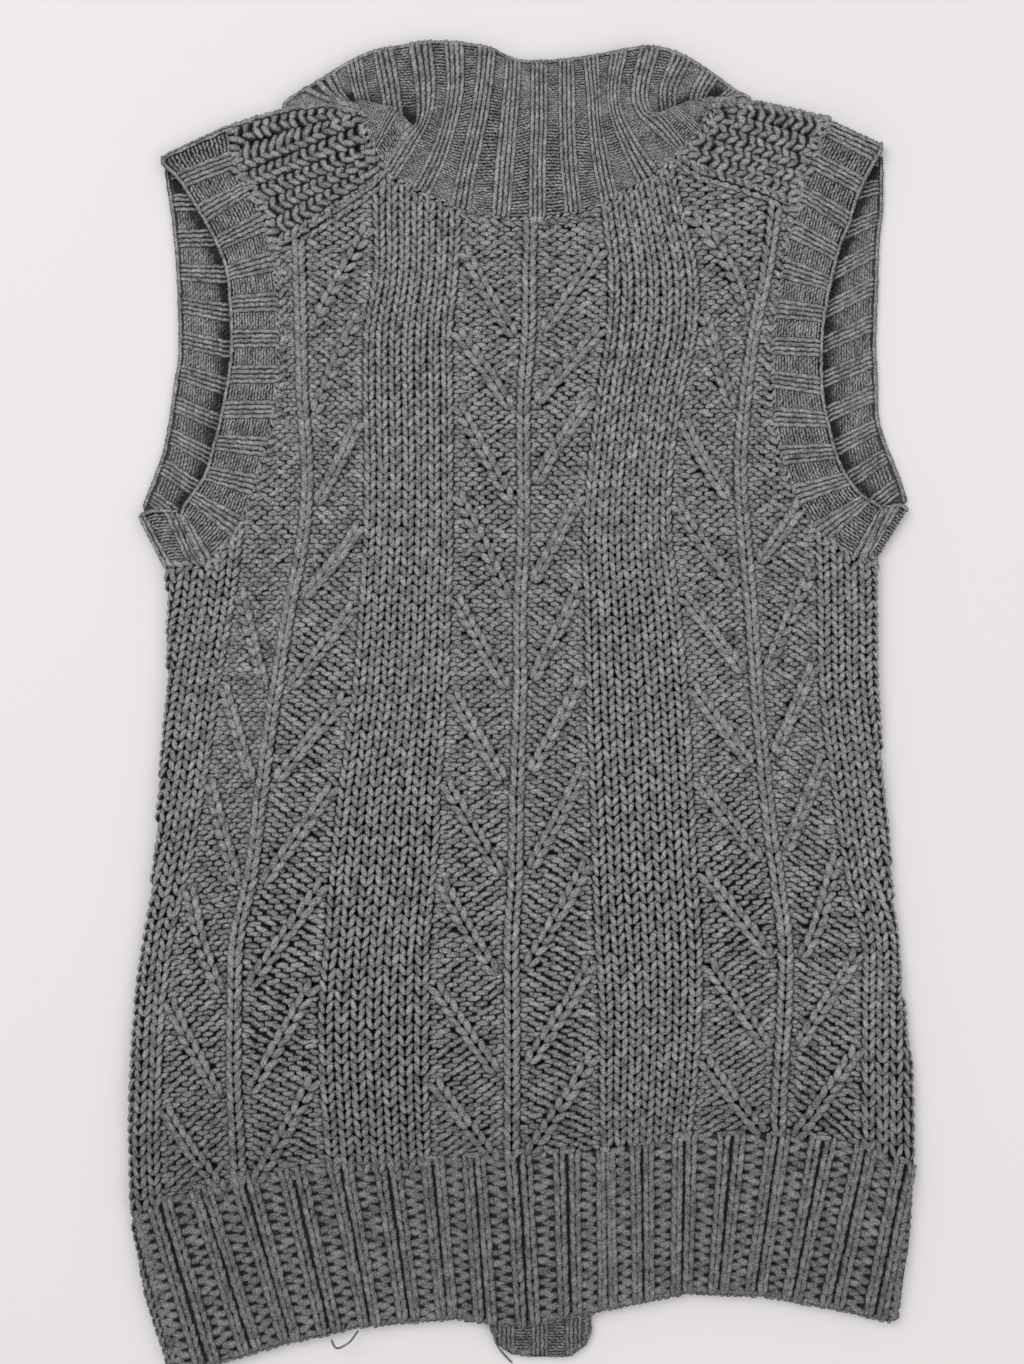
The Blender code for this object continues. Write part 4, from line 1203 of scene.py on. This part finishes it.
class VEST_OT_hem(bpy.types.Operator):
    """Knit the back's hem: two-by-two rib in the chunky yarn, with its cast-on edge."""

    bl_idname = "vest.hem"
    bl_label = "Hem rib"

    def execute(self, context):
        face, _, valley_shade = yarns()
        rows = np.arange(-HEM_ROWS, 0) + 0.5
        pairs = np.arange(-1, 18)
        u, v = stitches(pairs[:, None] + HEM_WALES, rows)
        v = v + 0.2 * wander(u * 6, v, 45, (3, 12))
        leg = {"width": HEM_PITCH, "row": HEM_ROW, "radius": 1.95, "spread": (0.85, 2.3), "reach": 1.6}
        parts = [vees(hem_surface, u, v, 0.3, 41, **leg)]
        u, v = stitches(np.arange(0, 19), rows)
        for shift, side, tilt, seed in ((0.25, -0.09, 0.16, 42), (-0.25, 0.09, -0.16, 43)):
            rung = {"length": 9.4, "radius": 2.9, "bow": -0.8, "tilt": tilt, "arch": 1.0, "swing": 0.1}
            rung |= {"width": HEM_PITCH, "row": HEM_ROW, "shade": 0.06}
            parts.append(beads(hem_surface, u + side, v + shift, -1.3, seed, **rung))
        top = np.arange(-0.5, 18)
        parts.append(beads(hem_surface, top, 0.2, 0.4, 46, length=9.0, radius=2.1, width=HEM_PITCH))
        for row, drop, length, radius, seed in ((0.1, -0.7, 4.4, 1.5, 44), (-0.25, -2.6, 5.0, 1.4, 47)):
            edge = np.arange(-0.8, 18, 0.17)
            cast_on = {"length": length, "radius": radius, "width": HEM_PITCH, "tilt": 0.3, "bow": 0.1}
            parts.append(beads(hem_surface, edge, row - HEM_ROWS, drop, seed, **cast_on))
        for side, edge in ((-1, HEM_LINES[0]), (1, HEM_LINES[-1])):
            line = np.array([edge[0:2], edge[2:4]], float) + (0, 1)
            rope = {"length": 6.6, "radius": 2.0, "full": 0.85, "arch": 0.8}
            for inset, z, tilt, seed in ((2.2, 8.2, 0.3, 48), (0.6, 5.2, -0.3, 49)):
                parts.append(chain(line, 5.4, z, seed, off=-side * inset, tilt=tilt * side, **rope))
        parts += [loose_end(places, 85 + n) for n, places in enumerate(LOOSE_ENDS)]
        knit_piece("hem_rib", parts, face)
        lines = np.array(HEM_LINES, float)
        share = np.linspace(0, 1, 61)[None, :, None]
        upper, lower = (
            np.dstack([np.interp(share[..., 0] * 10, range(11), lines[:, k]) for k in pair])
            for pair in ((0, 1), (2, 3))
        )
        down = np.linspace(0, 1, 9)[:, None, None]
        plan = upper + down * (lower - upper)
        x = plan[..., 0] * 0.985
        lie = rolled(x, plan[..., 1])[0]
        outer = np.dstack([x, plan[..., 1], np.minimum(BACK_TOP - 3.3, lie[..., 2] - 1.9)])
        points, faces = shell(outer, at_height(outer[..., :2], BACK_LOW))
        mesh_piece("hem_cloth", points, faces, valley_shade)
        return {"FINISHED"}


class VEST_OT_armholes(bpy.types.Operator):
    """Knit the fine rib bands round both armholes."""

    bl_idname = "vest.armholes"
    bl_label = "Armhole bands"

    def execute(self, context):
        face, _, valley_shade = yarns()
        for hand, (name, side) in enumerate(HANDS):
            cloth = armhole_cloth(side)
            total = cloth.along[-1]
            points, faces = cloth.shell(0.9, 2.2, lambda along: 0.7 * rib_wave(along / RIB_PITCH))
            node = f"armhole_band_{name}"
            mesh_piece(f"{node}_cloth", points, faces, valley_shade, node=node)
            columns = slice(4 * hand, 4 * hand + 4)
            rows = np.array([row[columns] for row in ARMHOLE_FRONT] + [ARMHOLE_SHOULDER[hand]], float)
            stations = np.array([level([r[:2], (r[:2] + r[2:]) / 2, r[2:]], RIB_WALL) for r in rows])
            inside = Cloth(running(stations), stations, facing=-side, fine=(241, 25))
            free = [row[columns][2:] for row in ARMHOLE_BACK]
            # Painted shade on the inside band's strands, near the back band's free edge over them
            under = in_shade(free, 7.0, 0.8, below=7.5)
            for end, layer, groups, rise, rows, dim in (
                ("", cloth, np.arange(0, total / RIB_PITCH), 0.0, ARMHOLE_ROWS, None),
                ("_inside", inside, np.arange(1, 14), -0.6, INSIDE_ROWS, under),
            ):

                def surface(u, v, layer=layer, rows=rows):
                    group = np.round(u / 6)
                    along = gathered(group, u - 6 * group, 0.175) * RIB_PITCH
                    return layer.at(along, v / rows)

                bound = {"rise": rise, "edge": rows - 0.2, "dim": dim}
                parts = [fine_rib(surface, groups, (0.25, rows - 1), 51 + len(groups), **bound)]
                if layer is cloth:
                    seam, tip = (np.array(ARMHOLE_BACK[0][columns][k : k + 2], float) for k in (0, 2))
                    corner = ARMHOLE_CORNER[hand]
                    rope = {"length": 6.4, "radius": 1.9, "arch": 1.2}
                    parts += [
                        chain([seam, tip], 2.3, (10.2, 8.2), 58, length=3.4, radius=1.25),
                        chain(corner, 5.0, 8.3, 59, off=1.0, tilt=0.4 * side, **rope),
                        chain(corner, 5.0, 7.6, 60, off=-2.6, tilt=-0.4 * side, **rope),
                    ]
                knit_piece(f"armhole_rib_{name}{end}", parts, face)
        return {"FINISHED"}


class VEST_OT_yokes(bpy.types.Operator):
    """Knit the shoulder yokes: garter ridges of plump beans with leaning legs between them."""

    bl_idname = "vest.yokes"
    bl_label = "Shoulder yokes"

    def execute(self, context):
        face, deep, _ = yarns()
        for hand, (name, side) in enumerate(HANDS):
            cloth, crest = yoke_cloth(side)
            points, faces = cloth.shell(2.6, 4.4)
            points[:, 2] = np.minimum(points[:, 2], BACK_TOP - 2.6)
            node = f"shoulder_yoke_{name}"
            mesh_piece(f"{node}_cloth", points, faces, deep, node=node)
            widths = np.linalg.norm(np.diff(cloth.grid, axis=1), axis=-1).sum(axis=1)

            def surface(u, v, cloth=cloth, widths=widths):
                """Stitches from the armhole's seam and millimetres up from the foot."""
                across = u * YOKE_STITCH / np.interp(v, cloth.along, widths)
                place, normal, room = cloth.at(v, across)
                return place - normal * 1.4, normal, np.where(across < 1.03, room, -AMPLE)

            columns = np.arange(0.1, widths.max() / YOKE_STITCH)
            ridges = crest - np.array(YOKE_RIDGES[hand])
            ridges = np.r_[crest - 2.0, ridges[ridges > 2.5], 0.5]
            gaps = np.repeat(-np.diff(ridges), len(columns))
            u, v = stitches(columns, ridges[1:-1])
            leg_u, leg_v = stitches(columns, 0.45 * ridges[:-1] + 0.55 * ridges[1:])
            lean, leg_radius, leg_lean, longest, shift, edge_lean = YOKE_LEAN[hand]
            lie = {"width": YOKE_STITCH, "row": 1.0, "sides": 6}
            # shade paints the beans' and legs' sides darker; the fold edge's beads get less painted shade, so
            # they look lit
            plump = {"full": 0.72, "arch": 2.4, "swing": 0.2, "shade": 0.3}
            bean = {"length": 8.2, "radius": 3.0, "bow": -0.6, "tilt": lean, **plump}
            size = np.minimum(gaps * 0.92, longest)
            leg = {"length": size, "radius": leg_radius, "bow": 0.7, "tilt": leg_lean}
            edge = {"length": 7.2, "radius": 2.4, "tilt": edge_lean, "full": 0.75, "arch": 1.4}
            parts = [
                beads(surface, u, v, 0.8, 71, **bean, **lie),
                beads(surface, leg_u + shift, leg_v, -0.3, 73, **leg, **plump, **lie),
                beads(surface, columns, crest - 3.4, 0.8, 70, shade=-0.3, **edge, **lie),
                beads(surface, columns + 0.5, crest - 0.2, 0.3, 72, shade=-0.7, **edge, **lie),
            ]
            outer = [row[4 * hand : 4 * hand + 2] for row in ARMHOLE_BACK[10:]]
            inner = [row[1:3] for row in YOKE_COLLAR[hand]] + [YOKE_FOLDS[hand][-1]]
            foot, nook = YOKE_FEET[hand], YOKE_NOOKS[hand]
            close = {"length": 5.4, "radius": 1.5}
            parts.append(chain(outer, 4.6, 10.2, 74, off=1.6 * side, tilt=-0.9 * side, **close))
            for high, dive, off, tilt, seed in (
                (10.6, (9.6, 7.5), -1.4, 0.9, 75),
                (10.0, (8.6, 6.0), -3.2, 0.5, 76),
                (10.6, (9.6, 8.0), 1.3, -0.7, 78),
            ):
                z = (*[high] * (len(inner) - 2), *dive)
                parts.append(chain(inner, 4.4, z, seed, off=off * side, tilt=tilt * side, **close))
            parts += [
                chain(foot, 5.4, 9.6, 77, off=2.2, length=6.4, radius=1.8),
                chain(foot, 5.4, 9.4, 79, off=4.6, length=6.4, radius=1.8),
                chain(outer, 4.6, 10.6, 82, off=3.8 * side, tilt=-1.2 * side, length=6.4, radius=2.1),
                chain(nook, 3.2, (11.4, 11.2, 10.8, 9.0), 80, off=1.3, tilt=0.5, length=5.6, radius=1.9),
                chain(nook, 3.2, (11.2, 11.0, 10.6, 9.0), 81, off=-1.5, tilt=-0.5, length=5.6, radius=1.9),
                *(chain(corner, 3.0, 11.6, 83, length=5.2, radius=2.0) for corner in YOKE_CORNERS[hand]),
            ]
            knit_piece(f"shoulder_yoke_{name}_knit", parts, face)
        return {"FINISHED"}


class VEST_OT_collar(bpy.types.Operator):
    """Knit the tall ribbed collar: its folded tube of cloth and the fine rib that shows."""

    bl_idname = "vest.collar"
    bl_label = "Collar"

    def execute(self, context):
        face, _, valley_shade = yarns()
        cloth = collar_cloth()
        points, faces = cloth.shell(1.0, 2.2, lambda along: 0.9 * rib_wave(along))
        mesh_piece("collar_cloth", points, faces, valley_shade, node="collar")

        def surface(u, v):
            group = np.round(u / 6)
            grip = 0.172 + 0.04 * np.clip(v / COLLAR_ROWS * 1.6, 0, 1)
            return cloth.at(gathered(group, u - 6 * group, grip), v / COLLAR_ROWS)

        # Painted shade on the strands in the pinch valleys behind the collar's rolls, and a little over the
        # whole rib
        valleys = [[row[7:9] for row in rows] for rows in (COLLAR_BACK[:4], COLLAR_BACK[14:])]
        left, right = (in_shade(line, 8.0, 0.8, below=12.5) for line in valleys)

        def dim(points):
            return left(points) + right(points)

        bound = {"sink": (0.3, 1.3), "edge": COLLAR_ROWS - 0.25, "shade": 0.08, "dim": dim}
        rib = fine_rib(surface, np.arange(-5, 14), (0.5, COLLAR_ROWS), 81, **bound)
        knit_piece("collar_rib", [rib], face)
        return {"FINISHED"}


class VEST_OT_fronts(bpy.types.Operator):
    """Make the fronts under the back, and the two front bands whose end shows below the hem."""

    bl_idname = "vest.fronts"
    bl_label = "Fronts and front bands"

    def execute(self, context):
        face, deep, valley_shade = yarns()
        share = np.linspace(0, 1, 16)
        for hand, (name, _) in enumerate(HANDS):
            outer = [row[2 * hand : 2 * hand + 2] for row in SIDE_ROWS]
            outer += [row[4 * hand : 4 * hand + 2] for row in ARMHOLE_FRONT[1:]]
            neckline = (COLLAR_FRONT_LEFT, COLLAR_FRONT_RIGHT)[hand][1:5]
            inner = [(FRONT_MIDDLE[hand], y) for _, y in outer[:-4]] + [row[:2] for row in neckline]
            outer, inner = np.array(outer, float), np.array(inner, float)
            hem = np.array(HEM_LINES, float)
            plan = outer[:, None] * (1 - share)[:, None] + inner[:, None] * share[:, None]
            plan[0, :, 1] = np.interp(plan[0, :, 0], hem[:, 2], hem[:, 3]) + 4
            low = at_height(plan, 0.6)
            low[:10, 0, 2] = 3.2
            points, faces = shell(at_height(plan, 4.8), low)
            mesh_piece(f"front_{name}_cloth", points, faces, deep, node=f"front_{name}")
        for name, low, high in (("lower", 0.3, 2.3), ("upper", 2.8, 4.4)):
            rows = np.array(BAND_ROWS, float)
            share = np.linspace(0, 1, 40)
            xs = rows[:, 1:2] + share * (rows[:, 2:3] - rows[:, 1:2])
            plan = np.dstack([xs, np.repeat(rows[:, :1], len(share), axis=1)])
            wave = rib_wave((xs - BAND_MIDDLE) / BAND_PITCH)
            points, faces = shell(at_height(plan, low), at_height(plan, high + 0.6 * wave))
            node = f"front_band_{name}"
            mesh_piece(f"{node}_cloth", points, faces, valley_shade, node=node)

        def surface(u, v):
            x, y = BAND_MIDDLE + u * BAND_PITCH / 6, rows[-1, 0] + v * RIB_ROW
            edge = np.interp(y, rows[::-1, 0], rows[::-1, 1]), np.interp(y, rows[::-1, 0], rows[::-1, 2])
            kept = (x > edge[0] + 0.5) & (x < edge[1] - 0.5) & (y > rows[-1, 0] + 0.5)
            place = np.stack([x, y, np.full_like(x, BAND_TOP)], -1)
            return place, upwards(x.shape), np.where(kept, AMPLE, -AMPLE)

        parts = [fine_rib(surface, (-1, 0, 1), (0, 10), 91)]
        for column, way in ((1, 1), (2, -1)):
            side = [(row[column], row[0]) for row in BAND_ROWS[1:]]
            for inset, z, seed in ((1.2, 3.6, 92), (3.0, 4.8, 93)):
                rope = {"length": 3.8, "radius": 1.3, "tilt": 0.5 * way}
                parts.append(chain(side, 2.7, z, seed, off=inset * way, **rope))
        knit_piece("front_band_end", parts, face)
        return {"FINISHED"}


class VEST_OT_sheets(bpy.types.Operator):
    """Look up the knit pieces of each cloth in the cut table; nothing further is done with them."""

    bl_idname = "vest.sheets"
    bl_label = "Cloths' cuts"

    def execute(self, context):
        pieces = bpy.data.objects
        for name, width, length, area, under, knits in CUTS:
            knits = [piece for piece in pieces if piece.name.startswith(knits) and piece.name != name]
            knits = [piece for piece in knits if "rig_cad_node" not in piece]
        return {"FINISHED"}


class VEST_OT_stage(bpy.types.Operator):
    """Set the pale floor, the soft studio light and the camera looking straight down."""

    bl_idname = "vest.stage"
    bl_label = "Stage"

    def execute(self, context):
        scene = context.scene
        stage = scene.vest_stage
        mesh = bpy.data.meshes.new("studio_floor")
        half = stage.floor / 2
        corners = [(-half, -half, 0), (half, -half, 0), (half, half, 0), (-half, half, 0)]
        mesh.from_pydata(corners, [], [(0, 1, 2, 3)])
        floor = bpy.data.objects.new("studio_floor", mesh)
        scene.collection.objects.link(floor)
        paper = bpy.data.materials.new("matt white paper")
        paper.use_nodes = True
        shader = paper.node_tree.nodes["Principled BSDF"]
        shader.inputs["Base Color"].default_value = stage.paper
        shader.inputs["Roughness"].default_value = 0.9
        shader.inputs["Specular IOR Level"].default_value = 0.1
        mesh.materials.append(paper)
        floor.location.z = -0.0005
        for name, place, size, power in (
            ("key_softbox", (-0.9, 0.9, 2.2), 1.6, stage.key),
            ("fill_softbox", (1.3, -0.6, 2.2), 2.0, stage.fill),
        ):
            light = bpy.data.lights.new(name, "AREA")
            light.size, light.energy = size, power
            lamp = bpy.data.objects.new(name, light)
            lamp.location = place
            lamp.rotation_mode = "QUATERNION"
            lamp.rotation_quaternion = Vector(place).to_track_quat("Z", "Y")
            scene.collection.objects.link(lamp)
        world = bpy.data.worlds.new("studio")
        world.use_nodes = True
        world.node_tree.nodes["Background"].inputs["Color"].default_value = linear("#FFFFFF")
        world.node_tree.nodes["Background"].inputs["Strength"].default_value = stage.sky
        scene.world = world
        scene.view_settings.view_transform = "Standard"
        camera = bpy.data.cameras.new("camera")
        camera.lens = LENS
        eye = bpy.data.objects.new("camera", camera)
        eye.location = (EYE_X, EYE_Y, stage.eye)
        scene.collection.objects.link(eye)
        scene.camera = eye
        return {"FINISHED"}


class VEST_PT_pieces(bpy.types.Panel):
    """The vest's pieces, its yarn and its stage, in the sidebar."""

    bl_idname = "VEST_PT_pieces"
    bl_label = "Cable-knit vest"
    bl_space_type = "VIEW_3D"
    bl_region_type = "UI"
    bl_category = "Knitwear"

    def draw(self, context):
        for one in OPERATORS:
            self.layout.operator(one.bl_idname)
        for settings in (context.scene.vest_knit, context.scene.vest_stage):
            for name in settings.__annotations__:
                self.layout.prop(settings, name)


OPERATORS = (
    VEST_OT_back,
    VEST_OT_hem,
    VEST_OT_fronts,
    VEST_OT_yokes,
    VEST_OT_armholes,
    VEST_OT_collar,
    VEST_OT_sheets,
    VEST_OT_stage,
)
CLASSES = (KnitSettings, StageSettings, *OPERATORS, VEST_PT_pieces)


def register():
    for one in CLASSES:
        bpy.utils.register_class(one)
    bpy.types.Scene.vest_knit = bpy.props.PointerProperty(type=KnitSettings)
    bpy.types.Scene.vest_stage = bpy.props.PointerProperty(type=StageSettings)


def unregister():
    del bpy.types.Scene.vest_stage, bpy.types.Scene.vest_knit
    for one in reversed(CLASSES):
        bpy.utils.unregister_class(one)


def main():
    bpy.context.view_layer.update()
    register()
    bpy.ops.vest.back()
    bpy.ops.vest.hem()
    bpy.ops.vest.fronts()
    bpy.ops.vest.yokes()
    bpy.ops.vest.armholes()
    bpy.ops.vest.collar()
    bpy.ops.vest.sheets()
    bpy.ops.vest.stage()


if __name__ == "__main__":
    main()
